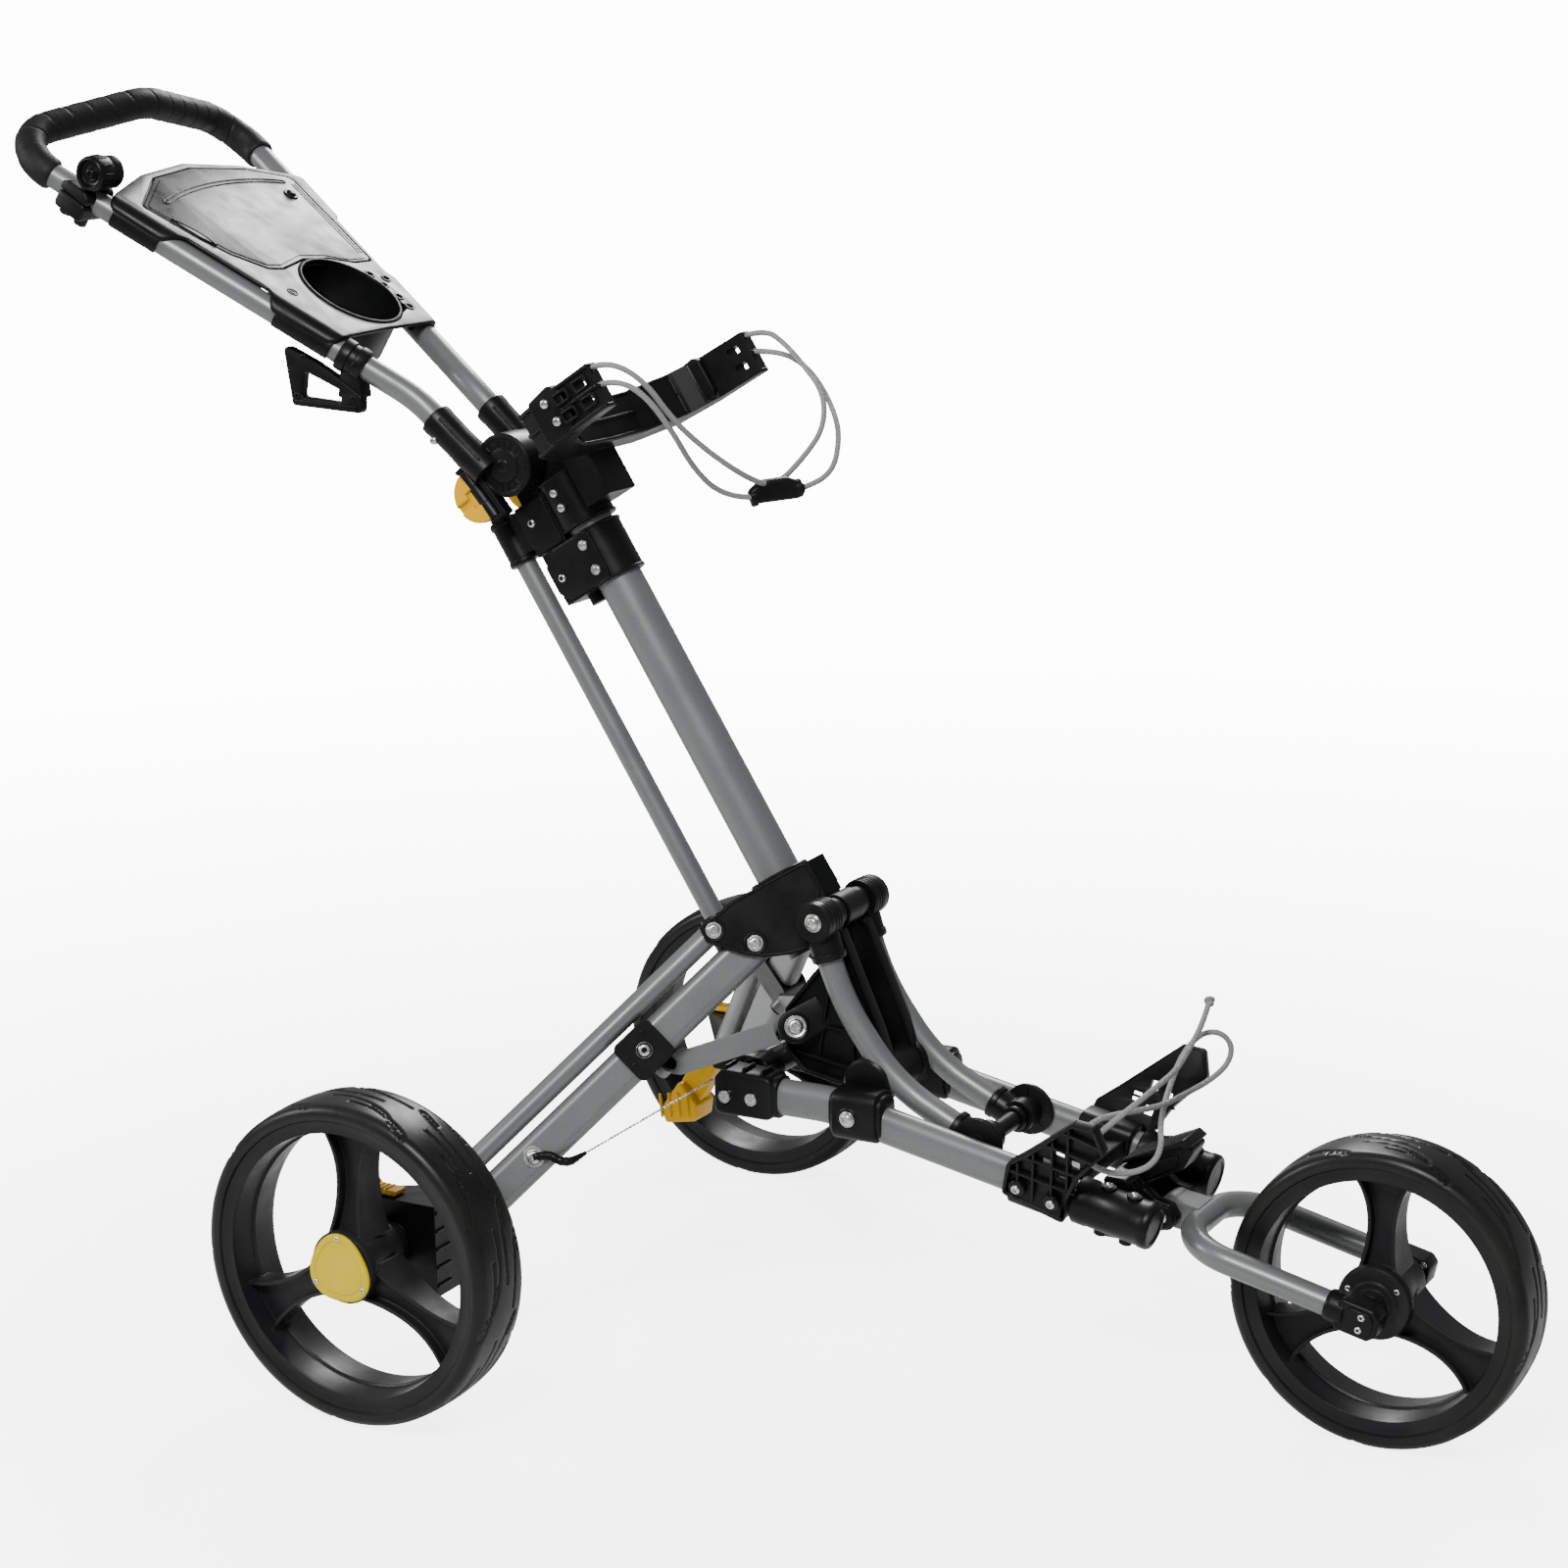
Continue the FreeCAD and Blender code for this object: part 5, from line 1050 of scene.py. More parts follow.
# lid, on a rebate round the deck's opening
plate("lid_rest", HANDLE, flat(grown(LID_OUTLINE, 7)), DECK_LOW + 0.1, DECK_TOP - 2.8, "handle", corner=7,
      edge=0.2, holes=[rounded_outline(flat(grown(LID_OUTLINE, -5)), 5)])
plate("lid_shell", HANDLE, flat(LID_OUTLINE), DECK_TOP - 2.6, DECK_TOP + 0.3, "console_lid", "lid_gloss",
      corner=7, edge=0.7, replaces=("console_lid",))
plate("lid_panel", HANDLE, flat(grown(LID_OUTLINE, -4.5)), DECK_TOP - 0.5, DECK_TOP + 0.9, "console_lid",
      "lid_gloss", corner=6, edge=0.5)


def lid_curve(points):
    """A smooth arc through three places on the lid, given as (s, y)."""
    first, middle, last = (Vector(p) for p in points)
    return [first * (1 - t) ** 2 + middle * 2 * t * (1 - t) + last * t ** 2
            for t in (k / 24 for k in range(25))]


slot_line = lid_curve(((286, -84), (318, 14), (297, 100)))
slot_sides = []
for way in (-1, 1):
    edge_line = []
    for index, point in enumerate(slot_line):
        ahead = slot_line[min(index + 1, len(slot_line) - 1)] - slot_line[max(index - 1, 0)]
        edge_line.append(point + Vector((ahead.y, -ahead.x)).normalized() * way * 2.2)
    slot_sides.append(edge_line)
slot_ends = (slot_line[-1] + Vector((-0.7, 2.1)), slot_line[0] - Vector((0.7, 2.1)))
slot_loop = [*slot_sides[0], slot_ends[0], *slot_sides[1][::-1], slot_ends[1]]
along_line("lid_slot", [handle_at(p.x, p.y, DECK_TOP + 0.7) for p in slot_loop], 1.0, "console_lid",
           slot="lid_gloss", closed=True)
lathe_piece("lid_knob", shifted(HANDLE, -277, 88, DECK_TOP),
            [(7.4, 0), (7.4, 1.4), (6.6, 2.1), (5.2, 2.1), (4.8, 1.5), (4.4, 1.5), (4.2, 3.6), (3.4, 4.2),
             (0.1, 4.3)], "console_lid", 28, slot="lid_gloss")
for count, shift in enumerate((0.0, 4.0)):
    ends = [handle_at(s, y - shift, DECK_TOP + 0.55) for s, y in ((182, 84.5), (292, 111))]
    along_line(f"lid_hinge_line_{count}", ends, 0.8, "console_lid", slot="lid_gloss")
notch = [handle_at(p.x, p.y, DECK_TOP + 0.8) for p in lid_curve(((262, -103), (238, -84), (219, -88)))]
along_line("lid_notch_edge", notch, 1.2, "console_lid", slot="lid_gloss")
plate("lid_notch", HANDLE, flat([(262, -104), (240, -89), (220, -88.5), (232, -95)]), DECK_TOP + 0.2,
      DECK_TOP + 1.25, "console_lid", corner=3, edge=0.3)

# ---------------------------------------------------------------- umbrella holder and accessory frame

CUP_PIVOT_S, CUP_PIVOT_H = 322.0, 28.0
cup_face = axes(handle_at(CUP_PIVOT_S, -137, CUP_PIVOT_H), along(HANDLE, 1, 0, 0), along(HANDLE, 0, 0, 1),
                (0, -1, 0))
lathe_piece("umbrella_dish", cup_face,
            [(4.2, 0), (13.5, 0), (15.2, 1.2), (15.5, 3), (15.5, 15.5), (14.9, 18), (13.4, 19.6),
             (12.2, 19.8), (11.4, 18.6), (10.6, 15.2), (9.8, 14.6), (7.4, 14.6), (7.2, 15.4), (4.2, 15.4)],
            "umbrella_cup", 48, replaces=("umbrella_cup",))
socket_bolt("umbrella_bolt", at(cup_face, 0, 0, 15.2), (0, -1, 0), "umbrella_cup", 4.6, height=2.4,
            slot="black_plastic", washer=6.4)
for count in range(12):
    angle = 2 * math.pi * count / 12
    spot = at(cup_face, *ring_point(15.4, angle, 9))
    along_line(f"umbrella_rib_{count}", [spot - Vector((0, -0.0045, 0)), spot + Vector((0, -0.0055, 0))],
               0.8, "umbrella_cup", 8)
clamp_out = side_faced(HANDLE, -1)
CLAMP_SIDES = box_outline(-344, -312, -16.8, -0.4)
plate("umbrella_clamp_low", clamp_out, CLAMP_SIDES, 122, 156, "handle", corner=5, edge=2.0,
      replaces=("umbrella_clamp",))
plate("umbrella_clamp_high", clamp_out,
      [(-344, 0.4), (-312, 0.4), (-312, 12), (-316, 14.5), (-340, 14.5), (-344, 12)], 122, 136.3, "handle",
      corner=4, edge=1.6)
plate("umbrella_clamp_outer", clamp_out,
      [(-344, 0.4), (-312, 0.4), (-312, 7), (-318, 10.5), (-338, 10.5), (-344, 7)], 136, 156, "handle",
      corner=4, edge=1.6)
lathe_piece("umbrella_tongue", axes(handle_at(CUP_PIVOT_S, -124, CUP_PIVOT_H), along(HANDLE, 1, 0, 0),
                                    along(HANDLE, 0, 0, 1), (0, -1, 0)),
            [(0.1, 0), (13, 0), (14.4, 1.5), (14.4, 11), (13.4, 12.4), (0.1, 12.4)], "handle", 40)
for count, s in enumerate((319, 337)):
    lathe_piece(f"umbrella_boss_{count}", shifted(HANDLE, -s, -143, -23),
                [(2.4, 1.5), (3.2, 1.5), (3.4, 0), (5.4, 0), (6, 0.8), (6, 7)], "handle", 24)
ACCESSORY = [(-458, 857), (-425, 843), (-404, 832), (-375, 814), (-376, 799), (-450, 803)]
plate("accessory_frame", upright(0, 0, -1, 62), ACCESSORY, 0, 10, "handle", corner=5, edge=1.6,
      holes=[rounded_outline([(-436, 834), (-396, 818), (-398, 808), (-440, 811)], 3)],
      replaces=("drink_bracket",))
plate("accessory_strap", upright(0, 0, -1, 60.5), [(-450, 809), (-380, 806), (-381, 800), (-448, 804)], 0,
      13, "handle", corner=2, edge=0.8)
for count, (x, z) in enumerate(((-436, 846), (-384, 812), (-444, 812))):
    socket_bolt(f"accessory_screw_{count}", mm_point(x, -71.5, z), (0, -1, 0), "handle", 3.2, height=1.4,
                slot="black_plastic")
hug_start, hug_end = side_tube_at(50, -1), side_tube_at(74, -1)
ring_piece("accessory_ring", frame_from(hug_start, hug_end - hug_start),
           [(11.1, 0), (14.4, 0), (15, 1), (15, 9), (13.6, 10), (13.6, 15), (15, 16), (15, 24), (14.4, 25),
            (11.1, 25)], "handle", 40)
plate("accessory_web", upright(0, 0, -1, 54), [(-402, 812), (-376, 812), (-380, 836), (-398, 838)], 0, 16,
      "handle", corner=3, edge=1.2)

# ---------------------------------------------------------------- folding knuckle and its levers

CAM_AT = shifted(MAST, -61, -39, 410) @ Matrix.Rotation(math.radians(-9), 4, "Y")
KNUCKLE_P, KNUCKLE_M = -25.0, 420.0
SOCKET_SPREAD, SOCKET_DROP = 0.028, 0.1515


def half_disc(radius, start, end, steps=22):
    return [(radius * math.cos(a), radius * math.sin(a)) for a in
            (math.radians(start + (end - start) * k / steps) for k in range(steps + 1))]


for side, way in SIDES:
    flip = Matrix.Diagonal((1, -way, 1, 1))
    cam = side_faced(flip @ CAM_AT @ flip, way)
    # the half disc in three layers, with the thumb slot between the raised pads
    plate(f"cam_core_{side}", cam, half_disc(24.6, 94, 266), -6.5, 4.2, f"cam_{side}", "yellow_plastic",
          corner=2, edge=1.6, replaces=(f"cam_lever_{side}",))
    plate(f"cam_pad_high_{side}", cam, half_disc(24.2, 96, 172) + [(-9, 3), (-9, 8), (-1, 8)], 2, 7,
          f"cam_{side}", "yellow_plastic", corner=1.5, edge=1.2)
    plate(f"cam_pad_low_{side}", cam, half_disc(24.2, 188, 264) + [(-1, -8), (-9, -8), (-9, -3)], 2, 7,
          f"cam_{side}", "yellow_plastic", corner=1.5, edge=1.2)
    barrel = axes(cam.translation, along(cam, 1, 0, 0), along(cam, 0, 0, 1), along(cam, 0, 1, 0))
    lathe_piece(f"cam_barrel_{side}", barrel,
                [(4, -24.6), (6, -24.6), (6.7, -23.8), (6.7, -9), (6, -8.4), (6, 8.4), (6.7, 9),
                 (6.7, 23.8), (6, 24.6), (4, 24.6)], f"cam_{side}", 32)
    knuckle = mast_side(KNUCKLE_P, way * 40, KNUCKLE_M, way)
    lathe_piece(f"knuckle_face_{side}", knuckle,
                [(27.6, -6), (27.6, 0.6), (26.6, 1.6), (24, 1.8), (23, 0.9), (15.5, 0.5), (14.8, 1.8),
                 (12.5, 2.4), (0.1, 2.4)], "handle", 56)
    radial_ribs("knuckle_rib", side, knuckle, 20, (16.5, 22.5), 0.9, 0.75, "handle")
    low_point, far_point = (at(HANDLE, x, way * (TUBE_START_Y - SOCKET_SPREAD * x), -SOCKET_DROP * x)
                            for x in (26, 92))
    sleeve = frame_from(low_point, far_point - low_point)
    ring_piece(f"socket_lip_{side}", sleeve,
               [(11.2, -2.2), (13.4, -2.2), (15, -1), (15.2, 3), (14.7, 8), (14.4, 30), (15, 44), (14, 60),
                (12, 60), (11.2, 4)], "handle", 40)
    rib_low, rib_high = (at(sleeve, 0, 14.6, reach) for reach in (6, 58))
    along_line(f"socket_rib_{side}", [rib_low, rib_high], 1.4, "handle", 8)

# ---------------------------------------------------------------- collars and brackets on the mast

for side, way in SIDES:
    block_face = mast_side(0, way * 22.4, 0, way)
    plate(f"lower_collar_plate_{side}", block_face,
          [(9, 290), (9, 337), (-33, 337), (-47, 327), (-47, 301), (-38, 291)], 0, 2.6, "mast",
          "lid_gloss", corner=6, edge=0.8)
    spine_face = mast_side(0, way * 18.6, 0, way)
    plate(f"spine_plate_{side}", spine_face, [(-20, 340), (-20, 385), (-51, 385), (-53, 352), (-44, 340)],
          0, 1.6, "mast", corner=4, edge=0.6)
for count, (low, high, radius) in enumerate(((289, 291.5, 25.6), (335.5, 338, 25.6), (343, 346, 26.2),
                                             (389, 392, 26.2))):
    ring_piece(f"collar_band_{count}", shifted(MAST, 0, 0, low),
               band(20.3, radius, 0, high - low, 0.8, 0.8), "mast", 56)
ring_piece("mast_sleeve_band", shifted(MAST, 0, 0, -8),
           [(20.3, 0), (26.6, 0), (27.2, 1), (27.2, 4.2), (26, 5.4), (20.3, 5.6)], "mast", 56)
for count, m in enumerate((-12, 345, 382)):
    ring_piece(f"rod_collar_{count}", shifted(MAST, -79, 0, m), band(9.7, 14.2, 0, 5, 0.8), "mast", 36)

# the upper cradle: web with ribs, near arm with its cord block, far arm with a buckle
cradle = [(40, 0), (40, -70), (60, -116), (100, -131), (152, -136), (155, -133), (155, -121), (110, -113),
          (85, -93), (66, -50), (62, 0)]
whole = cradle + [(p, -y) for p, y in reversed(cradle[1:-1])]
for count, m in enumerate((392.4, 410.5, 428.6)):
    plate(f"cradle_flange_{count}", MAST, whole, m, m + 3, "mast", corner=5, edge=0.9)
for side, way in SIDES:
    ribs = [((46, way * 40), (62, way * 30)), ((52, way * 80), (72, way * 62)),
            ((66, way * 112), (88, way * 92)), ((90, way * 122), (100, way * 104))]
    for count, (a, b) in enumerate(ribs):
        plate(f"cradle_rib_{count}_{side}", MAST, bar_outline(a, b, 1.1), 393, 431, "mast", corner=0.5,
              edge=0.4)
    for count, (p, m) in enumerate(((112, 401), (134, 401), (112, 417), (134, 417))):
        for part, y in enumerate((120.5, 133.8)):
            window = mast_side(p + 6, way * y, m + 3.5, way)
            plate(f"cradle_window_{count}_{part}_{side}", window, box_outline(-8, 8, -5.5, 5.5), -0.8, 0.9,
                  "mast", corner=2.5, edge=0.4, holes=[rounded_outline(box_outline(-6, 6, -3.5, 3.5), 1)])
near_block = mast_side(0, -118, 0, -1)
plate("cord_block", near_block, [(84, 392), (110, 392), (118, 400), (118, 428), (108, 436), (84, 432)], -6,
      14, "mast", corner=4, edge=1.5)
for count, (p, m) in enumerate(((100, 424), (103, 406))):
    socket_bolt(f"cradle_bolt_{count}", at(MAST, p, -131.6, m), (0, -1, 0), "mast", 4.2)
buckle = mast_side(0, 119, 0, 1)
plate("buckle_block", buckle, [(78, 394), (108, 394), (112, 400), (112, 430), (106, 434), (78, 431)], -14,
      12, "mast", corner=4, edge=1.5)
for count, p in enumerate((84, 91, 98)):
    plate(f"buckle_rib_{count}", buckle, box_outline(p - 1, p + 1, 398, 428), -15.6, 13.6, "mast",
          corner=0.5, edge=0.4)

# the cord hook
hook_along = Vector((28, 24, 6)).normalized()
hook_side = Vector((-24, 28, 0)).normalized()
hook = axes(mm_point(-4, 2, 744.5), hook_along, hook_along.cross(hook_side), hook_side)
plate("hook_body", hook, [(-24, -7), (18, -10), (24, -6), (24, 2), (10, 10), (-12, 11), (-24, 4)], -6.6,
      6.6, "mast", corner=5, edge=2.6, replaces=("cord_toggle",))
for count, x in enumerate((-20, 19)):
    ring_piece(f"hook_eye_{count}", axes(at(hook, x, -2, 0), hook_side, along(hook, 0, 1, 0), hook_along),
               band(3.4, 8, -3, 3, 0.8), "mast", 28)

# ---------------------------------------------------------------- bracket at the mast's foot

CHEEK_OUTLINE = [(-5.7, 50), (-5.7, -22.8), (-31, -24.7), (-45, -14.5), (-70.4, -3.6), (-73.2, 3.6),
                 (-69.6, 26.3), (-60.7, 48.2), (-50, 62), (-27, 84), (-12, 84), (-10, 66)]
CHEEK_FACE = 35.5
CURVE_TOP, CURVE_NEXT = (59, 37, 366), (74, 37, 318)
CURVE_END, CURVE_BEFORE = (196, 37, 215), (124, 37, 250)

for side, way in SIDES:
    plane = leg_plane(way)
    border = rounded_outline(grown(CHEEK_OUTLINE, -2.2), 5)
    along_line(f"cheek_border_{side}", [at(plane, p.x, p.y, CHEEK_FACE) for p in border], 1.3, "mast", 8,
               closed=True)
    for count, spot in enumerate((MAIN_PIVOT, LINK_PIVOT)):
        ring_piece(f"cheek_boss_{count}_{side}", shifted(plane, *spot, CHEEK_FACE),
                   [(7.4, -0.5), (7.6, 0.7), (9.4, 0.9), (10.4, 0), (10.4, -0.5)], "mast", 32)

# ---------------------------------------------------------------- castings of the lower frame

CASTING_CHEEK = [(47, 381), (57, 352), (40, 333), (13, 299), (13, 262), (30, 244), (62, 238), (104, 236),
                 (116, 262), (106, 292), (69, 376)]
PIVOT = (56.3, 387.3)
EAR = (-126.0, 50.3, LEG_OFFSET - 15.5)
TUBE_SLOPE = 0.2013


def tube_end(end, before, way):
    """A placement at a curved tube's end, looking back along the tube, on one side."""
    flip = Vector((1, way, 1))
    back = (mm_point(*before) - mm_point(*end)).normalized()
    return frame_from(mm_point(*end) * flip, back * flip)


def tube_z(x):
    return 233 - TUBE_SLOPE * max(0.0, x - 79)


for side, way in SIDES:
    flat_side = upright(0, 0, way)
    plate(f"casting_cheek_{side}", flat_side, CASTING_CHEEK, 15.6, 28.3, "frame", corner=7, edge=1.4,
          holes=[rounded_outline(grown(CASTING_CHEEK, -4), 4.9)], replaces=("lower_casting",))
    plate(f"casting_cheek_{side}_web", flat_side, grown(CASTING_CHEEK, -2), 15.8, 24, "frame", corner=7,
          edge=0.3)
    for count, (a, b) in enumerate((((24, 262), (96, 250)), ((24, 290), (104, 284)),
                                    ((46, 262), (60, 350)), ((80, 250), (76, 340)))):
        plate(f"casting_rib_{count}_{side}", flat_side, bar_outline(a, b, 1.2), 22, 27.4, "frame",
              corner=0.5, edge=0.4)
    lathe_piece(f"casting_hub_{side}", upright(*PIVOT, way),
                band(8.1, 13, 15.5, 28.5), "frame", 40)
    plane = leg_plane(way)
    ear_frame = shifted(plane, *EAR)
    ear_line = [(-14.8, -42), (14.8, -42), (14.8, 0), *half_disc(14.8, 15, 165, 10), (-14.8, 0)]
    for count, (low, high) in enumerate(((3.4, 7.3), (-7.3, -3.4))):
        plate(f"strut_ear_{count}_{side}", ear_frame, ear_line, low, high, "frame", corner=3, edge=0.9)
    lathe_piece(f"strut_ear_pin_{side}", ear_frame, box_outline(0.1, 3.9, -8, 8), "frame", 24,
                slot="zinc_steel")
    ring_piece(f"strut_ear_boss_{side}", ear_frame,
               [(7, 7), (9.6, 7), (9.6, 8), (11.2, 8.4), (12.4, 7.2), (12.4, 7)], "frame", 32)
    for count, (x, reach, inset) in enumerate(((82, 50, 3.2), (86, 42, 0))):
        section = crosswise(x, 0, way)
        low_z, high_z = 208 + inset, 252 - inset
        plate(f"tube_saddle_{count}_{side}", section, box_outline(-18 + inset, 18 - inset, low_z, high_z),
              0, reach, "frame", corner=13, edge=2.4)
    ring_piece(f"saddle_boss_{side}", upright(102.6, 229, way, 82.6),
               [(7.2, -1), (7.4, 0.8), (8.8, 1.1), (10.2, 0.2), (10.2, -1)], "frame", 32)
    # rear socket
    plate(f"rear_socket_{side}", flat_side, [(-29, 214), (28, 214), (28, 252), (-22, 254), (-29, 246)],
          49.6, 80.5, "frame", corner=8, edge=3, replaces=("rear_cross_member",))
    section = crosswise(24, 233, way)
    plate(f"rear_socket_lip_{side}", section, box_outline(-14, 14, -18, 18), 0, 8, "frame", corner=11,
          edge=1.6)
    for count, x in enumerate((-20, -2, 16)):
        plate(f"rear_socket_rib_{count}_{side}", crosswise(x, 0, way),
              [(-13, 248), (13, 248), (10, 256.5), (-10, 256.5)], -1.2, 1.2, "frame", corner=2, edge=0.5)
    # curved tubes' ends
    ring_piece(f"tee_lip_{side}", tube_end(CURVE_TOP, CURVE_NEXT, way),
               [(11.2, 8), (14.4, 8), (15.4, 9), (15.4, 13.5), (14.4, 14.8), (11.2, 14.8)], "frame", 36)
    ring_piece(f"tee_face_{side}", upright(*PIVOT, way, 53.6),
               [(8, 0), (8.4, 1.1), (10, 0.7), (13.5, 0.7), (15.6, 0), (16.8, -1.4), (17.3, -3),
                (17.3, -9), (16, -9)], "frame", 40)
    for count in range(3):
        ring_piece(f"tee_band_{count}_{side}", upright(*PIVOT, way, 33 + 4.5 * count),
                   [(16.5, -1), (17.6, -0.7), (17.6, 0.7), (16.5, 1)], "frame", 40)
    ring_piece(f"foot_lip_{side}", tube_end(CURVE_END, CURVE_BEFORE, way),
               [(11.2, 10), (13.8, 10), (14.8, 11), (14.8, 15), (13.8, 16.2), (11.2, 16.2)], "frame", 36)
    foot = upright(209, 214, way)
    ring_piece(f"foot_disc_{side}", foot,
               [(9, 46.5), (20.5, 47.6), (22.6, 48.6), (22.8, 51), (21.6, 52.6), (9, 52.6)], "frame", 44)
    radial_ribs("foot_fin", side, foot, 8, (9, 20), 47.2, 0.9, "frame")
    ring_piece(f"foot_waist_{side}", foot,
               [(8, 18), (10, 18), (11, 19.5), (11, 24), (10, 25.6), (8, 25.6)], "frame", 36)
    # housing, release lever and axle collar
    wheel_middle = middle_of(f"rear_tyre_{side}")
    collar = axes(Vector((wheel_middle.x, 0, wheel_middle.z)), (1, 0, 0), (0, 0, 1), (0, way, 0))
    ring_piece(f"axle_collar_{side}", collar,
               [(6.2, 296), (17, 296), (18, 297.5), (18, 300.5), (16, 301.5), (15, 305), (13.6, 306),
                (6.2, 306)], f"housing_{side}", 40)
    for count, z in enumerate(range(106, 172, 16)):
        plate(f"housing_rib_{count}_{side}",
              axes(mm_point(-172.4, way * 286, z), (0, way, 0), (1, 0, 0), (0, 0, 1)),
              box_outline(-9, 11, -2, 2), -1.2, 1.2, f"housing_{side}", corner=0.8, edge=0.4)
    plate(f"release_thumb_{side}", flat_side,
          [(-246, 177), (-214, 177), (-214, 181.2), (-237, 181.8), (-241, 187), (-246, 187)], 278.6, 294,
          f"release_{side}", "yellow_plastic", corner=1.6, edge=0.8, replaces=(f"release_lever_{side}",))
    for count, x in enumerate((-234, -229, -224)):
        plate(f"release_rib_{count}_{side}", flat_side,
              [(x - 0.9, 180.5), (x + 0.9, 180.5), (x + 0.6, 182.7), (x - 0.6, 182.7)], 280.5, 292,
              f"release_{side}", "yellow_plastic", corner=0.4, edge=0.3)

plate("casting_web", RIGHT_FACE, box_outline(30, 108, 248, 262), -15.8, 15.8, "frame", corner=3, edge=1.6)
plate("bag_cross", RIGHT_FACE, box_outline(272, 300, 186, 200), -50, 50, "frame", corner=3, edge=1.6,
      replaces=("lower_bag_bracket",))
drum = [(0.1, -50), (19.5, -50), (22, -47.8), (22, -45)]
for step in range(6):
    y = -44 + step * 3.4
    drum += [(20.4, y), (20.4, y + 1.2), (22, y + 1.6), (22, y + 3.2)]
drum += [(19, -22)]
drum += [(r, -y) for r, y in reversed(drum)]
lathe_piece("casting_drum", upright(103, 250, 1), drum, "frame", 48)
lathe_piece("pedal_axle", upright(-8, 240, 1),
            [(0.1, -55), (10, -55), (10, -46), (11.4, -45.6), (11.4, -44.6), (10, -44.4), (10, -17),
             (11.4, -16.6), (11.4, -14), (10, -13.6), (10, 20), (11.2, 20.5), (11.2, 24), (10, 24.5),
             (10, 55), (0.1, 55)], "frame", 40)

# brake pedal
plate("pedal_root", RIGHT_FACE, [(-8, 256), (-50, 256), (-54, 239), (-24, 240), (-18, 226), (-8, 224)],
      19.5, 42.5, "brake_pedal", corner=5, edge=2, replaces=("brake_pedal",))
plate("pedal_arm", RIGHT_FACE, [(-44, 257.5), (-58, 258), (-72, 244), (-84, 226), (-92, 208), (-80, 202),
                                (-68, 206), (-62, 214), (-52, 238), (-44, 239)], 23, 39, "brake_pedal",
      "yellow_plastic", corner=4, edge=2)
lathe_piece("pedal_eye", upright(-8, 240, -1),
            band(10.1, 16, 18, 44), "brake_pedal", 40)
plate("pedal_tread", RIGHT_FACE, [(-81, 222), (-86, 222), (-104, 196), (-99, 183), (-68, 189), (-66, 204)],
      16, 46, "brake_pedal", "yellow_plastic", corner=4, edge=2.4)
for count in range(4):
    part = count / 3
    x, z = -87 - 14 * part, 217 - 21 * part
    along_line(f"pedal_rib_{count}", [mm_point(x, -18.5, z), mm_point(x, -43.5, z)], 1.5, "brake_pedal",
               10, slot="yellow_plastic")
    low = mm_point(-72 - 9 * count, -46.0, 206 - 1.8 * count)
    along_line(f"pedal_side_rib_{count}", [low + mm_point(-5, 0, 9), low + mm_point(-3, 0, -12)], 1.3,
               "brake_pedal", 8, slot="yellow_plastic")

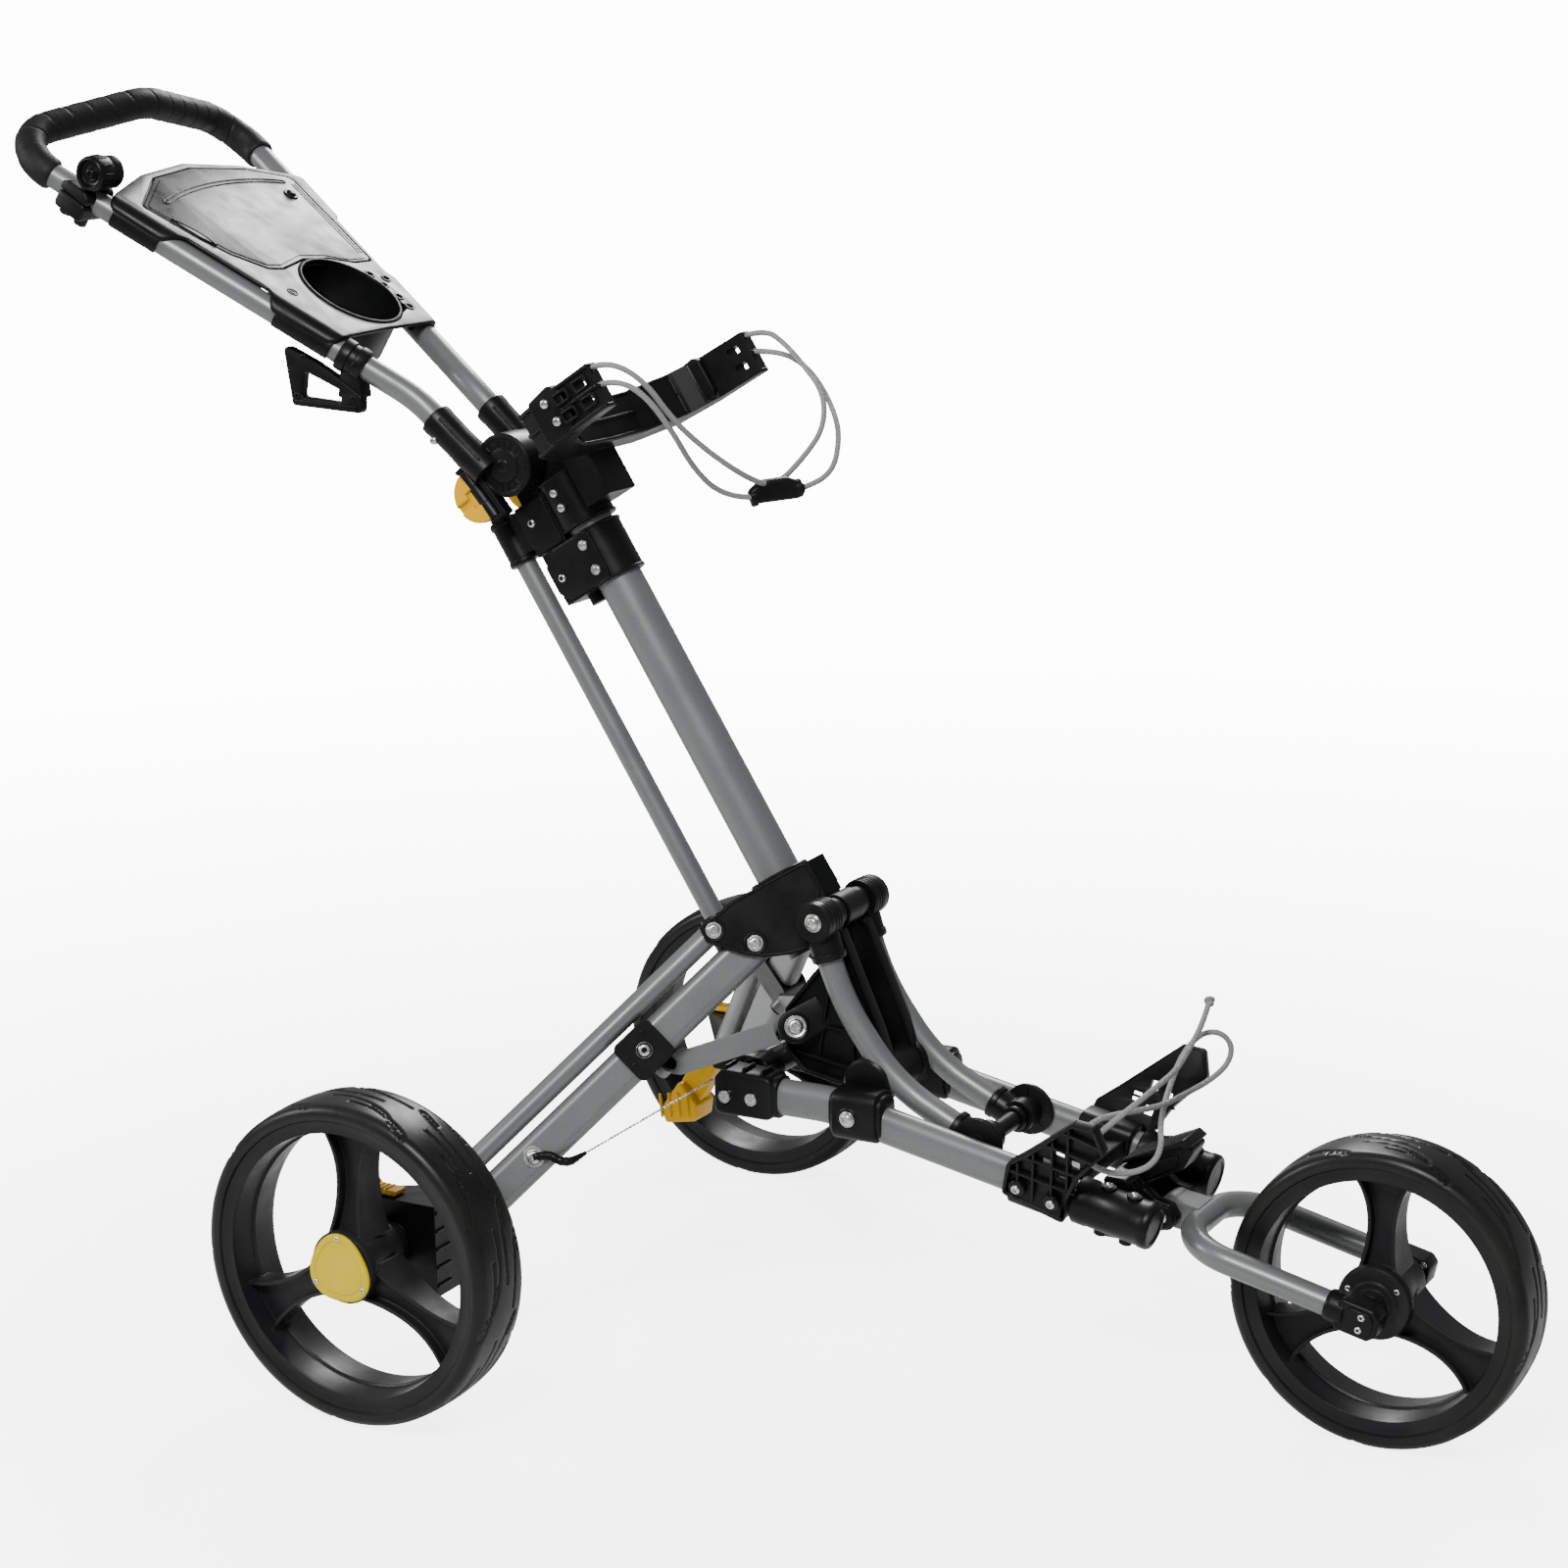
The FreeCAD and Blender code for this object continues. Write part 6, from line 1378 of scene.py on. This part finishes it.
# lower bag cradle
CRADLE_PLATE = [(-32, -6), (-28, 28), (-12, 46), (31, 98), (50, 100), (60, 78), (38, 42), (28, 14),
                (26, -14)]
TUBE_WAY = Vector((1, 0, -TUBE_SLOPE)).normalized()
for side, way in SIDES:
    base = Vector((278, way * 80, 187))
    run = Vector((0.98, 0, -0.197)).normalized()
    tip = Vector((342, way * 112, 262)) - base
    rise = (tip - run * tip.dot(run)).normalized()
    face = run.cross(rise) * way
    cradle_frame = axes(base * MM, run, rise, face if face.y * way > 0 else -face)
    squares = [rounded_outline(box_outline(x - 4, x + 4, y - 4, y + 4), 1)
               for x, y in ((6, 42), (18, 56), (20, 34), (32, 50))]
    plate(f"cradle_back_{side}", cradle_frame, grown(CRADLE_PLATE, -1), -4.4, -1.2, "frame", corner=4,
          edge=0.6, holes=squares)
    plate(f"cradle_wall_{side}", cradle_frame, CRADLE_PLATE, -4.5, 4.5, "frame", corner=5, edge=1.0,
          holes=[rounded_outline(grown(CRADLE_PLATE, -4.4), 3)])
    for count, (a, b) in enumerate((((-28, 22), (34, 22)), ((-14, 42), (40, 42)), ((4, 64), (50, 62)),
                                    ((22, 84), (56, 80)), ((-4, -8), (-4, 50)), ((13, -10), (13, 70)),
                                    ((27, 10), (27, 90)), ((-18, -6), (-18, 34)))):
        plate(f"cradle_lattice_{count}_{side}", cradle_frame, bar_outline(a, b, 1.0), -3, 3.4, "frame",
              corner=0.4, edge=0.3)
    for count, (x, y) in enumerate(((-18, 6), (14, 4))):
        lathe_piece(f"cradle_screw_boss_{count}_{side}", shifted(cradle_frame, x, y, -2),
                    [(0.1, 0), (7.5, 0), (7.5, 6), (6.8, 6.8), (0.1, 6.8)], "frame", 28)
        socket_bolt(f"cradle_screw_{count}_{side}", at(cradle_frame, x, y, 4.6),
                    along(cradle_frame, 0, 0, 1), "frame", 4.2)
    clasp = axes(mm_point(277, way * 65, tube_z(277)), (0, way, 0), TUBE_WAY.cross(Vector((0, -1, 0))),
                 TUBE_WAY)
    plate(f"cradle_band_{side}", clasp, box_outline(-16.5, 16.5, -21, 21), -25, 25, "frame", corner=12,
          edge=1.8)
    # front sleeves
    sleeve = frame_from(mm_point(308, way * 65, tube_z(308)), TUBE_WAY)
    lathe_piece(f"front_sleeve_tube_{side}", sleeve,
                [(12, 0), (18.6, 0), (20, 1.4), (20, 12), (19.3, 13), (19.3, 60), (20, 61), (20, 67),
                 (18.4, 69.2), (15, 69.4), (14.4, 68.4), (0.1, 68.2)], "frame", 48,
                replaces=("front_cross_casting",))
    for count, reach in enumerate((24, 47)):
        top = mm_point(308, way * 65, tube_z(308)) + TUBE_WAY * reach * MM
        up = Vector((0.197, 0, 0.98))
        lathe_piece(f"front_screw_seat_{count}_{side}", frame_from(top + up * 0.0185, up),
                    [(0.1, 0), (6.8, 0), (6.8, 1.4), (6, 2.2), (0.1, 2.2)], "frame", 28)
        socket_bolt(f"front_screw_{count}_{side}", top + up * 0.0207, up, "frame", 3.6, height=1.8)
        lathe_piece(f"front_boss_{count}_{side}", frame_from(top - up * 0.0185, -up),
                    [(0.1, 0), (5.6, 0), (5.6, 4.2), (4.6, 5), (3, 5), (2.8, 3.6), (0.1, 3.6)], "frame", 28)
    flat_side = upright(0, 0, way)
    plate(f"fork_cheek_{side}", flat_side,
          [(338, 190), (338, 153), (360, 154), (373, 157), (379.5, 168), (373, 179), (360, 182),
           (350, 190)], 15.7, 27, "frame", corner=5, edge=1.8)
    lathe_piece(f"fork_pivot_cap_{side}", upright(366, 168, way),
                [(0.1, 26), (10.5, 26), (10.5, 28), (9.6, 29), (6.6, 29), (6.2, 28.2), (0.1, 28.2)],
                "frame", 36)
    socket_bolt(f"fork_pivot_bolt_{side}", mm_point(366, way * 28.2, 168), (0, way, 0), "frame", 5.0,
                height=2.6)
plate("front_beam", RIGHT_FACE, box_outline(323, 345, 151, 204), -50, 50, "frame", corner=4, edge=2)
for count, y in enumerate((-44, -36, -28, 28, 36, 44)):
    plate(f"front_beam_rib_{count}", upright(0, 0, 1), [(344, 154), (349, 158), (349, 196), (344, 202)],
          y - 1, y + 1, "frame", corner=1.5, edge=0.4)
plate("front_hood", RIGHT_FACE, [(328, 194), (328, 206), (380, 231), (388, 225), (378, 206), (346, 190)],
      -14.5, 14.5, "frame", corner=4, edge=2)
plate("front_hood_lid", RIGHT_FACE,
      [(326, 205), (326, 209), (380, 234), (387, 229), (384, 226), (378, 227)], -19, 19, "frame",
      corner=1.5, edge=1)
for count, y in enumerate((-15.5, 15.5)):
    plate(f"front_hood_rib_{count}", upright(0, 0, 1), [(334, 200), (376, 220), (372, 208), (346, 194)],
          y - 1, y + 1, "frame", corner=2, edge=0.4)

# ---------------------------------------------------------------- brake cables and their boots

CABLE_START = (-48, 48, 232)
STRAND_RADIUS = 0.00055
for side, way in SIDES:
    leg = leg_frame(way, MAIN_PIVOT)
    start, end = mm_point(*CABLE_START) * Vector((1, way, 1)), at(leg, 232, 27, 8)
    run = (end - start).normalized()
    one = run.orthogonal().normalized()
    two = run.cross(one)
    length = (end - start).length
    turns, count = length / 0.007, int(length / 0.0011)
    parts = []
    for phase in (0, math.pi):
        line = []
        for k in range(count + 1):
            angle = 2 * math.pi * turns * k / count + phase
            offset = (one * math.cos(angle) + two * math.sin(angle)) * STRAND_RADIUS
            line.append(start + run * length * k / count + offset)
        parts.append(swept(line, lambda index, angle: STRAND_RADIUS, 6))
    new_piece(f"cable_{side}", *joined(*parts), "frame", "zinc_steel", replaces=(f"brake_cable_{side}",))
    corners = [end + run * -0.006, end + run * 0.016, at(leg, 250, 8, 12.5), at(leg, 261, 0, 12)]
    line, _ = rounded_route(corners, [0.014, 0.012], 0.0012)

    def boot_radius(index, angle):
        swell = 0.0016 + 0.0022 * min(1, index / (0.35 * len(line)))
        return swell * (1.12 if index % 4 == 0 else 1)

    new_piece(f"cable_boot_{side}", *swept(line, boot_radius, 14), f"leg_{side}")
    lathe_piece(f"cable_eye_{side}", shifted(leg, 261, 0, 9),
                [(0.1, 0), (9, 0), (9.4, 0.6), (9, 1.2), (0.1, 1.2)], f"leg_{side}", 30, slot="zinc_steel")

# ---------------------------------------------------------------- floor, light and finish

FLOOR_REACH, FLOOR_Z = 12.0, -0.0005
FLOOR_GLOW = 4.5
FLOOR_FADE = (0.6, 3.0)
BACKDROP_GLOW, SKY_LIGHT = 14.0, 0.32


def add_floor():
    mesh = bpy.data.meshes.new("floor")
    corners = box_outline(-FLOOR_REACH, FLOOR_REACH, -FLOOR_REACH, FLOOR_REACH)
    mesh.from_pydata([(x, y, FLOOR_Z) for x, y in corners], [], [(0, 1, 2, 3)])
    floor = bpy.data.objects.new("floor", mesh)
    bpy.context.scene.collection.objects.link(floor)
    made = Finish("floor", 0.7, specular=0.1)
    made.base(made.colours(made.noise(2.0, 3.0), (0.84, 0.84, 0.835), (0.88, 0.88, 0.875)))
    # the camera sees it a little brighter than it lights the object; far away it gives way to the backdrop
    glow, path = made.node("ShaderNodeEmission"), made.node("ShaderNodeLightPath")
    made.link(made.range(path.outputs["Is Camera Ray"], 0.0, FLOOR_GLOW), glow.inputs["Strength"])
    both = made.node("ShaderNodeAddShader")
    made.link(made.shader.outputs["BSDF"], both.inputs[0])
    made.link(glow.outputs["Emission"], both.inputs[1])
    length = made.node("ShaderNodeVectorMath")
    length.operation = "LENGTH"
    made.link(made.place, length.inputs[0])
    fade = made.node("ShaderNodeMapRange", **{"From Min": FLOOR_FADE[0], "From Max": FLOOR_FADE[1]})
    made.link(length.outputs["Value"], fade.inputs["Value"])
    clear, mix = made.node("ShaderNodeBsdfTransparent"), made.node("ShaderNodeMixShader")
    made.link(fade.outputs["Result"], mix.inputs["Fac"])
    made.link(both.outputs["Shader"], mix.inputs[1])
    made.link(clear.outputs["BSDF"], mix.inputs[2])
    made.link(mix.outputs["Shader"], made.tree.nodes["Material Output"].inputs["Surface"])
    floor.data.materials.append(made.material)


def add_light(name, place, aim, size, power):
    data = bpy.data.lights.new(name, "AREA")
    data.shape = "RECTANGLE"
    data.size, data.size_y = size
    data.energy = power
    light = bpy.data.objects.new(name, data)
    light.matrix_world = frame_from(place, Vector(place) - Vector(aim))
    bpy.context.scene.collection.objects.link(light)


def add_world():
    world = bpy.data.worlds.new("studio")
    world.use_nodes = True
    tree = world.node_tree
    seen, lighting = tree.nodes["Background"], tree.nodes.new("ShaderNodeBackground")
    seen.inputs["Color"].default_value = (1, 1, 1, 1)
    seen.inputs["Strength"].default_value = BACKDROP_GLOW
    lighting.inputs["Color"].default_value = (0.97, 0.98, 1, 1)
    lighting.inputs["Strength"].default_value = SKY_LIGHT
    mix, path = tree.nodes.new("ShaderNodeMixShader"), tree.nodes.new("ShaderNodeLightPath")
    tree.links.new(path.outputs["Is Camera Ray"], mix.inputs["Fac"])
    tree.links.new(lighting.outputs["Background"], mix.inputs[1])
    tree.links.new(seen.outputs["Background"], mix.inputs[2])
    tree.links.new(mix.outputs["Shader"], tree.nodes["World Output"].inputs["Surface"])
    bpy.context.scene.world = world


add_floor()
add_light("key", (0.6, -2.6, 3.0), (0, 0, 0.4), (1.5, 0.9), 150)
add_light("fill", (-2.8, -1.6, 1.8), (0, 0, 0.5), (1.0, 1.2), 60)
add_light("rim_light", (-1.0, 2.6, 2.6), (0, 0, 0.5), (1.6, 0.9), 110)
add_world()
